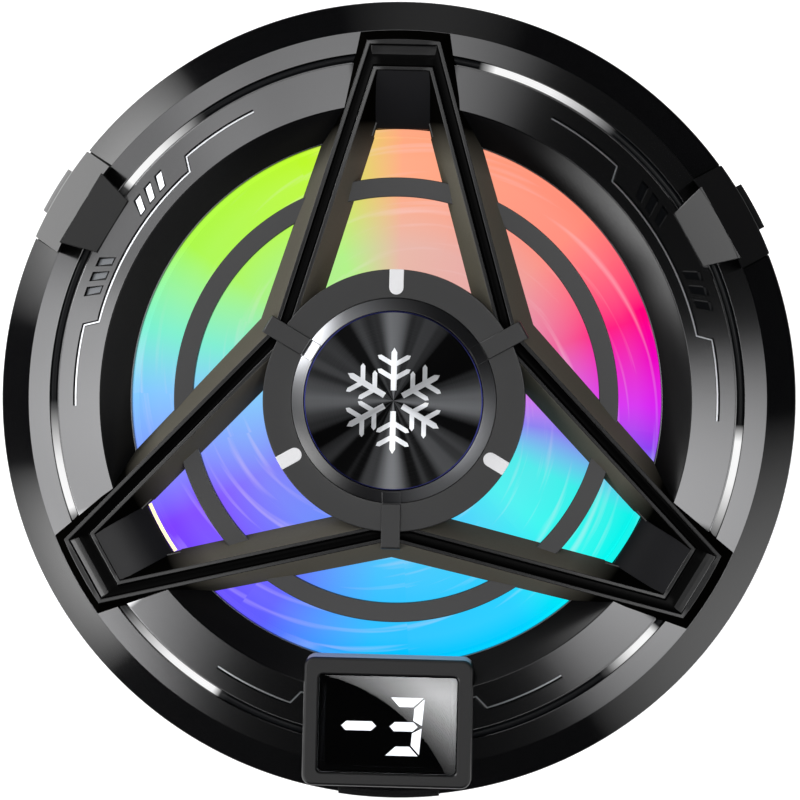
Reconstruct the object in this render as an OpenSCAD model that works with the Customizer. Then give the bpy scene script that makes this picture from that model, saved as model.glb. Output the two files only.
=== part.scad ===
// Round magnetic phone cooler: a fan over a finned heat sink and a thermoelectric plate, in a disc case.
// The phone face is at z = 0, the fan spins about +Z, and the display is on the -Y side of the front.

/* [Body] */
// Outer diameter of the case
body_d = 70; // [68:0.5:76]
// Wall thickness of the outer shells
shell_t = 1.6; // [1.2:0.1:1.8]
// Height of the rear cover's rim above the phone face
rear_h = 6.4; // [5.8:0.1:7.4]
// Height of the vented side ring
vent_h = 7.2; // [6.4:0.1:9]
// Width of one air slot in the side ring
vent_slot_w = 2.4; // [1.4:0.1:2.8]
// Places for air slots around the side ring
vent_count = 40; // [30:1:44]
// Straight wall height of the front bezel
bezel_wall_h = 2.6; // [2.4:0.1:3.4]
// Width of the bezel's chamfer, seen from the front
bezel_chamfer_w = 2.56; // [2:0.05:3]
// Height of the bezel's chamfer
bezel_chamfer_h = 2.15; // [1.8:0.05:2.6]
// Width of the brow that stands out over the inlet
brow_w = 8.9; // [7:0.1:11]

/* [Deco ring] */
// Thickness of the deco ring at its outer edge
deco_edge_t = 1.1; // [0.9:0.05:1.5]
// Rise of the deco ring's cone from its outer to its inner edge
deco_rise = 3.3; // [2.8:0.1:3.8]
// Width of the deco ring, seen from the front
deco_w = 6.59; // [6:0.05:7]
// Distance from the deco ring's outer edge to the ring groove
strip_inset = 1.96; // [1.6:0.05:2.2]
// Width of the ring groove
strip_w = 0.8; // [0.6:0.05:1]
// Depth of the ring groove, the lines and the slots
trim_depth = 0.45; // [0.3:0.05:0.6]
// Width of the engraved lines
trim_w = 0.4; // [0.3:0.05:0.5]
// Thickness of the inlays at the bottom of the grooves
inlay_t = 0.15; // [0.1:0.05:0.2]
// Width of the funnel between the deco ring and the fan opening
funnel_w = 2.65; // [2.3:0.05:3]
// Height of the funnel between the deco ring and the fan opening
funnel_drop = 2.05; // [1.6:0.05:2.4]

/* [Star grille] */
// Half width of a tip at its outer lip
tip_half_w = 3.21; // [2.9:0.01:3.6]
// Distance that the outer lip of a bar stands outside the hub ring
bar_reach = 0.43; // [0.2:0.01:0.8]
// Distance from the deco ring's outer edge to the lip at the tip
tip_setback = 1.09; // [0.9:0.01:1.3]
// Run of the skirt below the lip at the tip
tip_skirt_w = 0.95; // [0.7:0.05:1]
// Height of the star's tips above the deco ring's outer edge
star_tip_lift = 2.75; // [2.5:0.05:3.1]
// Rise of the star from its tips to its hub
star_rise = 3.2; // [2.9:0.05:3.6]
// Height of one bar
bar_h = 3.1; // [2.8:0.05:3.2]
// Draft of one bar's wall, seen from the front
bar_draft_w = 1.52; // [1.3:0.02:1.6]
// Width of the lips along a bar
lip_w = 0.35; // [0.3:0.01:0.42]
// Width of the groove between the lips of a bar
bar_groove_w = 0.88; // [0.75:0.01:0.95]
// Width of the groove at the tips
tip_groove_w = 1.9; // [1.6:0.05:2]
// Depth of the grooves between the lips
lip_groove_d = 0.5; // [0.3:0.05:0.7]
// Distance from the fan opening to the middle of the guard ring
guard_inset = 4.6; // [4.2:0.05:5]
// Width of the guard ring
guard_w = 1.68; // [1.2:0.02:2]
// Thickness of the guard ring
guard_t = 1.05; // [0.8:0.05:1.2]
// Half width of the sloped panel in each tip
insert_half_w = 2.4; // [2.2:0.05:2.6]

/* [Hub] */
// Diameter of the flat hub ring
hub_ring_d = 22.8; // [22.2:0.1:23.2]
// Thickness of the hub ring
hub_ring_t = 0.85; // [0.7:0.05:1]
// Width of the flat hub ring around the cap's bevel
hub_ring_w = 2.53; // [2.4:0.01:2.8]
// Width of the bevel around the cap
cap_bevel_w = 1.1; // [0.9:0.05:1.2]
// Height of the cap above the hub ring
cap_lift = 0.8; // [0.6:0.05:1]
// Width of one white tick
tick_w = 1.24; // [1:0.02:1.5]
// Length of one white tick
tick_len = 2.2; // [1.8:0.05:2.2]
// Width of one tab
tab_w = 1.65; // [1.4:0.05:1.9]
// Thickness of one tab
tab_t = 0.25; // [0.2:0.01:0.35]
// Length of one tab beyond the hub ring
tab_reach = 1.5; // [1.2:0.05:1.6]

/* [Display] */
// Width of the display housing
display_w = 14.8; // [14:0.1:15.6]
// Length of the display housing, in the radial direction
display_l = 11.2; // [10.8:0.1:11.6]
// Corner radius of the display housing
display_corner = 0.9; // [0.6:0.05:1.2]
// Distance from the rim to the display housing
display_inset = 1.2; // [1:0.05:1.6]
// Height of the display above the deco ring's outer edge
display_lift = 3.55; // [3.3:0.05:4]
// Width of the display's lens
lens_w = 12.15; // [11.6:0.05:12.6]
// Length of the display's lens
lens_l = 8.8; // [8.2:0.05:9.2]
// Thickness of the display's lens
lens_t = 0.8; // [0.6:0.05:1]
// Depth of the lens below the housing's face
lens_sink = 0.2; // [0.15:0.05:0.35]
// Height of one digit
digit_h = 5.08; // [4.6:0.02:5.4]
// Width of one digit
digit_w = 3.05; // [2.6:0.05:3.2]
// Distance from one digit to the next
digit_pitch = 4; // [3.8:0.05:4.4]
// Distance of the digits' middle to the left of the display's middle
digit_shift = 0.55; // [0:0.05:0.8]
// Width of one lit segment
seg_w = 0.8; // [0.6:0.02:0.9]
// Gap between two segments
seg_gap = 0.12; // [0.08:0.02:0.2]
// Lean of the digits in degrees
digit_lean = 4.5; // [0:0.5:8]

/* [Keys] */
// Width of one lug
lug_w = 8.8; // [8:0.1:9.6]
// Distance from the rim to a lug's inner end
lug_reach = 5.87; // [5.4:0.05:6.2]
// Width of a lug's sloped tail at the ridge
lug_tail_w = 7.1; // [6.4:0.02:7.6]
// Width of a lug's sloped tail at its inner end
lug_end_w = 5.3; // [4.8:0.02:5.8]
// Distance from the rim to a lug's ridge
lug_ridge_in = 2.7; // [2.6:0.05:3]
// Height of a lug's ridge above the deco ring's outer edge
lug_lift = 2.65; // [2.3:0.05:3]
// Distance that a lug stands out from the rim
lug_stand = 0.1; // [0.05:0.05:0.2]
// Width of one key
key_w = 4.3; // [3.6:0.1:5]
// Height of one key
key_h = 1.8; // [1.4:0.1:1.8]
// Distance that a key stands out from its lug
key_stand = 0.55; // [0.5:0.05:0.8]
// Press travel of one key
key_travel = 0.4; // [0.3:0.05:0.45]

/* [Fan] */
// Blades on the impeller
blade_count = 9; // [7:1:11]
// Turn of one blade from its lower to its upper edge
blade_turn = 46; // [40:1:50]
// Gap between the blade tips and the duct
tip_gap = 0.5; // [0.4:0.05:0.8]
// Gap between the blades and the guard ring
blade_gap = 0.7; // [0.5:0.05:0.9]
// Diameter of the impeller's hub
rotor_d = 19.6; // [19:0.1:20.4]
// Thickness of the fan's shroud
shroud_t = 1.1; // [0.9:0.05:1.3]
// Height of the fan's shroud
shroud_h = 4.6; // [4.4:0.05:5]
// Thickness of the fan's motor base and struts
fan_base_t = 1; // [0.8:0.05:1.2]
// Width of one strut
strut_w = 2; // [1.6:0.1:3]
// Diameter of the fan's shaft
shaft_d = 1.5; // [1.4:0.1:2]
// Radial play of the shaft in its sleeve
shaft_play = 0.04; // [0.02:0.01:0.08]

/* [Cooling stack] */
// Gap between the cold plate and the magnet ring
plate_gap = 1.5; // [1.3:0.05:2]
// Thickness of the rear cover's floor
floor_t = 2.25; // [2.1:0.05:2.5]
// Height of the rear cover's floor above the phone
floor_lift = 0.35; // [0.2:0.05:0.5]
// Thickness of the cold plate's flange
flange_t = 0.65; // [0.5:0.05:0.9]
// Thickness of the thermal pads
pad_t = 0.2; // [0.15:0.05:0.3]
// Side of the thermoelectric element
peltier_w = 25; // [23:0.5:25.5]
// Width of the foam beyond the corners of the element
foam_w = 3.82; // [3:0.02:4.2]
// Thickness of one ceramic plate
ceramic_t = 0.7; // [0.5:0.05:0.8]
// Height of the pellets
pellet_h = 1.4; // [1.1:0.05:1.6]
// Pellets along one side of the element
pellet_n = 6; // [4:1:7]
// Distance from the case's inside wall to the heat sink
sink_gap = 6.9; // [6.7:0.1:8.5]
// Thickness of the heat sink's base
sink_base_t = 1.5; // [1.2:0.05:1.8]
// Fins on the heat sink
fin_count = 40; // [28:2:44]
// Thickness of one fin
fin_t = 0.6; // [0.5:0.05:0.8]

/* [Phone contact] */
// Distance from the rim to the magnet ring
magnet_inset = 8; // [7.5:0.1:8.5]
// Radial width of the magnet ring
magnet_w = 4; // [3:0.1:4.4]
// Magnets in the ring
magnet_count = 18; // [12:2:24]
// Thickness of the magnets
magnet_t = 1.35; // [1.1:0.05:1.4]
// Thickness of the silicone ring
silicone_t = 0.8; // [0.6:0.05:0.9]

/* [Screws and fits] */
// Thread diameter of the case screws
case_screw_d = 1.6; // [1.4:0.1:2]
// Thread diameter of the small screws
small_screw_d = 1.2; // [1:0.1:1.4]
// Clearance between pieces that are fixed together
fit = 0.05; // [0.03:0.01:0.08]
// Clearance around the keys
key_gap = 0.12; // [0.08:0.01:0.2]

/* [Hidden] */
$fn = 96;

arm_at = [90, 210, 330];
zone_at = [30, 150, 270];
left_at = 150;
right_at = 30;

// Radii of the case
rim_r = body_d / 2;
in_r = rim_r - shell_t;
bezel_r = rim_r - bezel_chamfer_w;
deco_r = bezel_r - deco_w;
duct_r = deco_r - funnel_w;
guard_r = duct_r - guard_inset;
magnet_out = rim_r - magnet_inset;
magnet_in = magnet_out - magnet_w;
plate_r = magnet_in - plate_gap;
foam_r = peltier_w / sqrt(2) + foam_w;
sink_r = in_r - sink_gap;
hub_r = hub_ring_d / 2;
arm_line = hub_r + bar_reach;
bevel_r = hub_r - hub_ring_w;
cap_r = bevel_r - cap_bevel_w;

// Heights of the case, from the phone face up
vent_z = rear_h + vent_h;
rim_z = vent_z + bezel_wall_h;
bezel_z = rim_z + bezel_chamfer_h;
deck_z = bezel_z - deco_edge_t;
deck_t = 1;
deck_low = deck_z - deck_t;
deco_slope = deco_rise / (bezel_r - deco_r);
bezel_slope = bezel_chamfer_h / bezel_chamfer_w;
function deco_top(r) = bezel_z + (bezel_r - r) * deco_slope;
function bezel_top(r) = rim_z + (rim_r - r) * bezel_slope;
duct_z = deco_top(deco_r) - funnel_drop;

// Star grille
tip_y = bezel_r - tip_setback;
tip_z = bezel_z + star_tip_lift;
hub_z = tip_z + star_rise;
arm_angle = asin(arm_line / norm([tip_half_w, tip_y])) - atan2(tip_half_w, tip_y);
bar_w = 2 * lip_w + bar_groove_w;
tip_w = 2 * lip_w + tip_groove_w;
hub_low = hub_z - hub_ring_t;
guard_z = tip_z - bar_h + star_rise * 0.44;
insert_in = duct_r + 0.5;
insert_out = tip_y - tip_w;

// Fan
fan_z = deck_z - shroud_h;
base_z = fan_z + fan_base_t;
blade_low = base_z + 0.6;
blade_high = guard_z - blade_gap;
blade_r = duct_r - tip_gap;
rotor_r = rotor_d / 2;
rotor_high = blade_high + 0.8;
rotor_low = base_z + 1.2;
rotor_top_t = 1;
rotor_wall = 0.95;
yoke_t = 0.5;
yoke_r = rotor_r - rotor_wall - fit;
yoke_high = rotor_high - rotor_top_t - fit;
magnet_wall = 1;
pole_r = yoke_r - yoke_t - fit - magnet_wall - 0.35;
shaft_r = shaft_d / 2;
sleeve_r = shaft_r + 1;
tube_r = sleeve_r + fit + 0.7;
tube_high = yoke_high - yoke_t - 0.4;
flange_r = duct_r + shroud_t + 2.1;
washer_t = 0.12;
core_wall = 0.8;
pole_t = 1;
neck_w = 2;
coil_gap = 0.1;
coil_half = neck_w / 2 + 0.5;
coil_end = sqrt(pow(pole_r - pole_t, 2) - pow(coil_half, 2)) - coil_gap;
motor_board_t = 0.6;

// Cooling stack
floor_z = floor_lift + floor_t;
plate_z = floor_z + fit + flange_t;
cold_z = plate_z + pad_t;
pellet_z = cold_z + ceramic_t;
hot_z = pellet_z + pellet_h;
element_z = hot_z + ceramic_t;
sink_z = element_z + pad_t;
sink_top = sink_z + sink_base_t;
fin_top = fan_z - 0.2;
flange_w = 1.1;
clamp_r = (plate_r + peltier_w / 2) / 2;
clamp_at = [0, 90, 180, 270];
clamp_head_r = 1.5;
magnet_z = floor_z - magnet_t;
silicone_in = magnet_in - 0.4;
silicone_out = magnet_out + 0.6;

// Screws and posts
post_wall = 0.9;
post_r = in_r - case_screw_d / 2 - post_wall - 0.4;
case_head_r = case_screw_d / 2 + 0.9;
case_head_h = 1;
case_screw_l = 6;
frame_screw_at = [60, 180, 300];
frame_screw_r = duct_r + shroud_t + 1.05;
grille_screw_r = insert_out - 1.6;
grille_bite = 2.6;
small_head_r = small_screw_d / 2 + 0.4;
small_head_h = 0.6;

// Keys, display and inlet
lug_r = rim_r + lug_stand;
ridge_r = rim_r - lug_ridge_in;
saddle_r = rim_r - 0.95;
key_z = vent_z + bezel_wall_h / 2;
key_in = in_r - 1.9;
switch_out = key_in - key_travel - 0.1;
switch_l = 2;
display_y = -(rim_r - display_inset - display_l / 2);
display_z = bezel_z + display_lift;
lens_z = display_z - lens_sink;
module_w = lens_w - 1.2;
module_l = lens_l - 1.2;
module_z = lens_z - lens_t - 0.2;
seg_t = 0.12;
digit_x = -digit_pitch / 2 - digit_shift;
digit_y = -0.33;
led_t = 0.35;
board_t = 0.8;
led_board_in = flange_r + 0.2;
led_board_out = led_board_in + 2;
usb_w = 8.94;
usb_h = 3.16;
usb_wall = 0.3;
usb_l = 7.3;
usb_mouth = rim_r - 0.4;
usb_z = rear_h + vent_h / 2;
tongue_w = 6.7;
tongue_t = 0.7;
tongue_back = 0.9;
control_w = 16;
control_l = 4.4;
control_inset = shell_t;

module at(angle, r = 0, z = 0) {
  rotate([0, 0, angle]) translate([r, 0, z]) children();
}

module ring(r0, r1, z0, z1) {
  translate([0, 0, z0]) difference() {
    cylinder(h = z1 - z0, r = r1);
    translate([0, 0, -1]) cylinder(h = z1 - z0 + 2, r = r0);
  }
}

// A box that runs along X from x0 to x1 and is centred on Y
module bar(x0, x1, w, z0, z1) {
  translate([x0, -w / 2, z0]) cube([x1 - x0, w, z1 - z0]);
}

// An outline in the radial plane, drawn as (radius, height), made w wide
module slab(w) {
  rotate([90, 0, 0]) linear_extrude(height = w, center = true) children();
}

module rounded(w, l, r) {
  square([w - 2 * r, l], center = true);
  square([w, l - 2 * r], center = true);
  for (x = [-1, 1], y = [-1, 1])
    translate([x * (w / 2 - r), y * (l / 2 - r)]) circle(r = r);
}

module stadium(w, h) {
  square([w - h, h], center = true);
  for (x = [-1, 1]) translate([x * (w - h) / 2, 0]) circle(r = h / 2);
}

function polar(r, a) = [r * cos(a), r * sin(a)];

function turned(p, a) = [p[0] * cos(a) - p[1] * sin(a), p[0] * sin(a) + p[1] * cos(a)];

// Outline of the star at a distance inside its outer lip, along the bars and at the tips
function inner_corner(inset) = polar((arm_line - inset) / cos(30 - arm_angle), 30);

function tip_corner(inset, tip_inset, side) =
  [side * (arm_line - inset - (tip_y - tip_inset) * sin(arm_angle)) / cos(arm_angle), tip_y - tip_inset];

function star_loop(inset, tip_inset, drop) = [
  for (a = [0, 120, 240])
    each [
      concat(turned(inner_corner(inset), a), hub_z - drop),
      concat(turned(tip_corner(inset, tip_inset, 1), a), tip_z - drop),
      concat(turned(tip_corner(inset, tip_inset, -1), a), tip_z - drop)
    ]
];

// A closed tube through loops of nine points
module loop_tube(loops) {
  n = 9;
  m = len(loops);
  polyhedron(
    points = [for (loop = loops) each loop],
    faces = [
      for (i = [0:m - 1], j = [0:n - 1])
        let (a = i * n + j, b = i * n + (j + 1) % n)
        let (d = ((i + 1) % m) * n + j, c = ((i + 1) % m) * n + (j + 1) % n)
        each [[a, d, c], [a, c, b]]
    ]
  );
}

module star_frame() {
  loop_tube([
    star_loop(-bar_draft_w, -tip_skirt_w, bar_h),
    star_loop(0, 0, 0),
    star_loop(lip_w, lip_w, 0),
    star_loop(lip_w + 0.12, lip_w + 0.12, lip_groove_d),
    star_loop(lip_w + bar_groove_w - 0.12, lip_w + tip_groove_w - 0.12, lip_groove_d),
    star_loop(lip_w + bar_groove_w, lip_w + tip_groove_w, 0),
    star_loop(bar_w, tip_w, 0),
    star_loop(bar_w + bar_draft_w, tip_w + 0.3, bar_h)
  ]);
}

// The star's bars without grooves, grown by a clearance
module star_blank(gap) {
  loop_tube([
    star_loop(-bar_draft_w - gap, -tip_skirt_w - gap, bar_h + gap),
    star_loop(-gap, -gap, -gap),
    star_loop(bar_w + gap, tip_w + gap, -gap),
    star_loop(bar_w + bar_draft_w + gap, tip_w + 0.3 + gap, bar_h + gap)
  ]);
}

// The star filled in, and open upward, to clear its seat in the pieces below
module star_plug(gap) {
  n = 9;
  inner = star_loop(bar_w + bar_draft_w, tip_w + 0.3, bar_h + gap);
  low = star_loop(-bar_draft_w - gap, -tip_skirt_w - gap, bar_h + gap);
  mid = star_loop(-gap, -gap, -gap);
  high = star_loop(-gap, -gap, -6);
  polyhedron(
    points = concat(inner, low, mid, high, [[0, 0, hub_z - bar_h - gap], [0, 0, hub_z + 6]]),
    faces = [
      for (j = [0:n - 1])
        let (k = (j + 1) % n)
        each [
          for (i = [0, n, 2 * n]) each [[i + j, i + n + j, i + n + k], [i + j, i + n + k, i + k]],
          [4 * n, j, k], [4 * n + 1, 3 * n + k, 3 * n + j]
        ]
    ]
  );
}

module display_column(gap, z0, z1) {
  translate([0, display_y, z0]) linear_extrude(height = z1 - z0)
    rounded(display_w + 2 * gap, display_l + 2 * gap, display_corner + gap);
}

module arc_band(r, w, a0, a1) {
  intersection() {
    difference() {
      circle(r = r + w / 2);
      circle(r = r - w / 2);
    }
    polygon([[0, 0], polar(2 * r, a0), polar(2 * r, (a0 + a1) / 2), polar(2 * r, a1)]);
  }
}

line_in = deco_r + 1.04;
line_out = line_in + 1.24;
slot_in = line_in + 0.55;
slot_out = slot_in + 1.4;

// The engraved line of one zone, with its bends on both sides
module trim_line(angle, shrink) {
  w = trim_w - 2 * shrink;
  step = 0.9 * w / trim_w;
  rotate([0, 0, angle]) {
    arc_band(line_in, w, -16.3, 16.3);
    for (s = [-1, 1]) {
      polygon([
        polar(line_in - w / 2, s * 16.2), polar(line_in - w / 2, s * (16.2 + step)),
        polar(line_out + w / 2, s * (17.4 + step)), polar(line_out + w / 2, s * 17.4)
      ]);
      arc_band(line_out, w, s * 17.5, s * (32.4 - 2 * shrink));
    }
  }
}

// Three leaning slots on each side of one lug
module trim_slots(angle, shrink) {
  half = 0.88 - 2 * shrink;
  rotate([0, 0, angle]) for (s = [-1, 1], k = [0:2]) {
    mid = 5.9 + 2.8 * k;
    polygon([
      polar(slot_in + shrink, s * (mid - 0.7 - half)), polar(slot_in + shrink, s * (mid - 0.7 + half)),
      polar(slot_out - shrink, s * (mid + 0.7 + half)), polar(slot_out - shrink, s * (mid + 0.7 - half))
    ]);
  }
}

module trim_outline(shrink) {
  for (a = zone_at) trim_line(a, shrink);
  for (a = [right_at, left_at]) trim_slots(a, shrink);
}

// A shell that follows the deco ring's cone, between two depths
module deco_shell(r0, r1, deep, shallow) {
  rotate_extrude() polygon([
    [r0, deco_top(r0) - deep], [r1, deco_top(r1) - deep],
    [r1, deco_top(r1) - shallow], [r0, deco_top(r0) - shallow]
  ]);
}

strip_out = bezel_r - strip_inset;
strip_in = strip_out - strip_w;

module rear_cover() {
  round_r = 1.5;
  color("#17181a") difference() {
    rotate_extrude() difference() {
      union() {
        translate([plate_r + fit, floor_lift]) square([rim_r - round_r - plate_r - fit, floor_t]);
        translate([rim_r - round_r, floor_lift + round_r]) circle(r = round_r);
        translate([in_r - 1, floor_lift + round_r]) square([shell_t + 1, rear_h - floor_lift - round_r]);
      }
      translate([0, floor_z]) square([in_r, rear_h]);
    }
    ring(magnet_in - fit, magnet_out + fit, magnet_z - fit, floor_z + 1);
    ring(silicone_in - fit, silicone_out + fit, -1, silicone_t);
    for (a = arm_at) at(a, post_r, 0) {
      cylinder(h = floor_z + 1, r = case_screw_d / 2 + 0.2);
      cylinder(h = floor_lift + case_head_h, r = case_head_r + 0.15);
    }
  }
}

module silicone_ring() {
  color("#2a2b2e") ring(silicone_in, silicone_out, 0, silicone_t);
}

module magnet_ring() {
  step = 360 / magnet_count;
  color("#8d9096") for (i = [0:magnet_count - 1]) rotate([0, 0, i * step])
    translate([0, 0, magnet_z]) linear_extrude(height = magnet_t)
      arc_band((magnet_out + magnet_in) / 2, magnet_w, 0.7, step - 0.7);
}

module cold_plate() {
  color("#c8cbd0") difference() {
    union() {
      cylinder(h = plate_z, r = plate_r);
      translate([0, 0, floor_z + fit]) cylinder(h = flange_t, r = plate_r + flange_w);
    }
    for (a = clamp_at) at(a, clamp_r, 1) cylinder(h = plate_z, r = case_screw_d / 2 + fit);
  }
}

module element_plate(z, t) {
  translate([-peltier_w / 2, -peltier_w / 2, z]) cube([peltier_w, peltier_w, t]);
}

module cold_pad() {
  color("#7c8794") element_plate(plate_z, pad_t);
}

module peltier_cold_ceramic() {
  color("#f0efe8") element_plate(cold_z, ceramic_t);
}

module peltier_pellets() {
  pitch = peltier_w / pellet_n;
  side = pitch * 0.5;
  first = (pitch - side - peltier_w) / 2;
  color("#6f6a62") for (i = [0:pellet_n - 1], j = [0:pellet_n - 1])
    translate([first + i * pitch, first + j * pitch, pellet_z]) cube([side, side, pellet_h]);
}

module peltier_hot_ceramic() {
  color("#f0efe8") element_plate(hot_z, ceramic_t);
}

module hot_pad() {
  color("#7c8794") element_plate(element_z, pad_t);
}

module foam_gasket() {
  hole = peltier_w + 0.6;
  color("#33353a") difference() {
    translate([0, 0, plate_z]) cylinder(h = sink_z - plate_z, r = foam_r);
    translate([-hole / 2, -hole / 2, plate_z - 1]) cube([hole, hole, sink_z - plate_z + 2]);
    for (a = clamp_at) at(a, clamp_r, plate_z - 1) cylinder(h = sink_z, r = case_screw_d / 2 + 0.2);
  }
}

module heatsink() {
  step = 360 / fin_count;
  color("#b4b8bd") difference() {
    union() {
      translate([0, 0, sink_z]) cylinder(h = sink_base_t, r = sink_r);
      intersection() {
        for (i = [0:fin_count - 1]) rotate([0, 0, (i + 0.5) * step])
          bar(rotor_r + 1.5, sink_r + 1, fin_t, sink_top - 0.2, fin_top);
        cylinder(h = fin_top + 1, r = sink_r);
      }
    }
    for (a = clamp_at) {
      at(a, clamp_r, sink_z - 1) cylinder(h = sink_base_t + 2, r = case_screw_d / 2 + fit);
      at(a, clamp_r, sink_top) cylinder(h = fin_top, r = clamp_head_r + 0.4);
    }
  }
}

module clamp_screws() {
  color("#9b9ea3") for (a = clamp_at) at(a, clamp_r) {
    translate([0, 0, 1.3]) cylinder(h = sink_top - 1.3, r = case_screw_d / 2);
    translate([0, 0, sink_top]) difference() {
      cylinder(h = 1, r = clamp_head_r);
      translate([-2, -0.2, 0.6]) cube([4, 0.4, 1]);
    }
  }
}

module vent_ring() {
  step = 360 / vent_count;
  color("#1b1c1f") difference() {
    ring(in_r, rim_r, rear_h, vent_z);
    for (i = [0:vent_count - 1])
      if (abs((i + 0.5) * step - 270) > 13)
        rotate([0, 0, (i + 0.5) * step]) bar(in_r - 1, rim_r + 1, vent_slot_w, rear_h + 1.2, vent_z - 1.2);
    translate([0, -in_r + 2, usb_z]) rotate([90, 0, 0]) linear_extrude(height = shell_t + 4)
      stadium(usb_w + 2 * fit, usb_h + 2 * fit);
  }
}

module case_screws() {
  color("#8f9297") for (a = arm_at) at(a, post_r) {
    translate([0, 0, floor_lift + 0.2]) difference() {
      cylinder(h = case_head_h - 0.2, r = case_head_r);
      for (t = [0, 90]) rotate([0, 0, t]) translate([-1, -0.2, -1]) cube([2, 0.4, 1.4]);
    }
    translate([0, 0, floor_lift + case_head_h]) cylinder(h = case_screw_l, r = case_screw_d / 2);
  }
}

module fan_frame() {
  color("#222326") difference() {
    union() {
      ring(duct_r, duct_r + shroud_t, fan_z, deck_z - fit);
      ring(duct_r + shroud_t / 2, flange_r, deck_low - 1, deck_low);
      translate([0, 0, fan_z]) cylinder(h = fan_base_t, r = rotor_r - 0.4);
      for (a = zone_at) at(a) bar(rotor_r - 2, duct_r + shroud_t / 2, strut_w, fan_z, base_z);
      translate([0, 0, base_z - 0.2]) cylinder(h = tube_high - base_z + 0.2, r = tube_r);
    }
    translate([0, 0, base_z]) cylinder(h = tube_high, r = sleeve_r + fit);
    for (a = frame_screw_at) at(a, frame_screw_r, deck_low - 2) cylinder(h = 3, r = small_screw_d / 2 + fit);
    for (a = arm_at) at(a, grille_screw_r, deck_low - 2) cylinder(h = 3, r = small_head_r + 0.4);
  }
}

module frame_screws() {
  color("#9b9ea3") for (a = frame_screw_at) at(a, frame_screw_r) {
    translate([0, 0, deck_low - 1 - small_head_h]) cylinder(h = small_head_h, r = small_head_r);
    translate([0, 0, deck_low - 1]) cylinder(h = 1.7, r = small_screw_d / 2);
  }
}

module motor_board() {
  color("#14532d") ring(tube_r + fit, rotor_r - 1.2, base_z, base_z + motor_board_t);
}

module pole_neck(gap, z0, z1) {
  bar(tube_r, pole_r - 0.6, neck_w + 2 * gap, z0, z1);
}

module stator_core() {
  z0 = base_z + motor_board_t + 0.7;
  z1 = tube_high - 0.5;
  color("#6d7076") difference() {
    union() {
      ring(tube_r + fit, tube_r + core_wall, z0, z1);
      for (i = [0:3]) rotate([0, 0, 90 * i]) {
        pole_neck(0, z0, z1);
        translate([0, 0, z0]) linear_extrude(height = z1 - z0)
          arc_band(pole_r - pole_t / 2, pole_t, -36, 36);
      }
    }
    translate([0, 0, z0 - 1]) cylinder(h = z1, r = tube_r + fit);
  }
}

module stator_coils() {
  z0 = base_z + motor_board_t + 0.7;
  z1 = tube_high - 0.5;
  color("#b06a35") for (i = [0:3]) rotate([0, 0, 90 * i]) difference() {
    bar(tube_r + core_wall + coil_gap, coil_end, 2 * coil_half, z0 - 0.4, z1 + 0.4);
    pole_neck(fit, z0 - fit, z1 + fit);
  }
}

module bearing_sleeve() {
  color("#a9803f") ring(shaft_r + shaft_play, sleeve_r, base_z + washer_t + 0.1, tube_high);
}

module thrust_washer() {
  color("#d8d5c8") translate([0, 0, base_z]) cylinder(h = washer_t, r = sleeve_r - 0.2);
}

module shaft() {
  z0 = base_z + washer_t + 0.03;
  color("#c9ccd1") translate([0, 0, z0]) cylinder(h = rotor_high - 0.2 - z0, r = shaft_r);
}

module rotor_magnet() {
  out = yoke_r - yoke_t - fit;
  color("#3c3d40") ring(out - magnet_wall, out, rotor_low, yoke_high - yoke_t - fit);
}

module rotor_yoke() {
  color("#9a9da2") difference() {
    translate([0, 0, rotor_low]) cylinder(h = yoke_high - rotor_low, r = yoke_r);
    translate([0, 0, rotor_low - 1]) cylinder(h = yoke_high - yoke_t - rotor_low + 1, r = yoke_r - yoke_t);
    translate([0, 0, rotor_low]) cylinder(h = yoke_high, r = shaft_r + fit);
  }
}

module impeller() {
  color("#e9eef4") difference() {
    union() {
      translate([0, 0, rotor_low]) cylinder(h = rotor_high - rotor_low, r = rotor_r);
      for (i = [0:blade_count - 1]) rotate([0, 0, 360 / blade_count * i])
        translate([0, 0, blade_low])
          linear_extrude(height = blade_high - blade_low, twist = blade_turn, slices = 16, $fn = 12)
            polygon([
              polar(rotor_r - 0.5, -3.5), polar(blade_r, -3), polar(blade_r, 0), polar(blade_r, 3),
              polar(rotor_r - 0.5, 3.5)
            ]);
    }
    translate([0, 0, blade_low - 1])
      cylinder(h = rotor_high - rotor_top_t - blade_low + 1, r = rotor_r - rotor_wall);
    translate([0, 0, blade_low]) cylinder(h = rotor_high - 0.2 - blade_low + fit, r = shaft_r + 0.02);
  }
}

module front_housing() {
  color("#1d1e20") difference() {
    union() {
      ring(duct_r + shroud_t + 0.1, bezel_r - fit, deck_low, deck_z);
      for (a = arm_at) at(a, post_r, floor_z + fit)
        cylinder(h = deck_low + 0.2 - floor_z, r = case_screw_d / 2 + post_wall);
    }
    for (a = arm_at) {
      at(a, post_r, floor_z - 1) cylinder(h = case_screw_l + 1, r = case_screw_d / 2 + 0.02);
      at(a, grille_screw_r, deck_low - 1) cylinder(h = deck_t + 2, r = small_screw_d / 2 + fit);
    }
    for (a = frame_screw_at)
      at(a, frame_screw_r, deck_low - 1) cylinder(h = 1.8, r = small_screw_d / 2 + fit);
  }
}

module led_board() {
  color("#1f3d2b") difference() {
    ring(led_board_in, led_board_out, deck_low - led_t - board_t, deck_low - led_t);
    for (a = arm_at) at(a, grille_screw_r, deck_low - 3) cylinder(h = 4, r = small_head_r + 0.4);
  }
}

module leds() {
  mid = (led_board_in + led_board_out) / 2;
  color("#f4f4ee") for (i = [0:11]) rotate([0, 0, 15 + 30 * i])
    bar(mid - 0.7, mid + 0.7, 1.6, deck_low - led_t, deck_low);
}

module lug_frames() {
  at(left_at) children();
  at(right_at) children();
}

// The opening for a key, with its clearance
module key_slot(x0, x1) {
  bar(x0, x1, key_w + 2 * key_gap, key_z - key_h / 2 - key_gap, key_z + key_h / 2 + key_gap);
}

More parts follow.
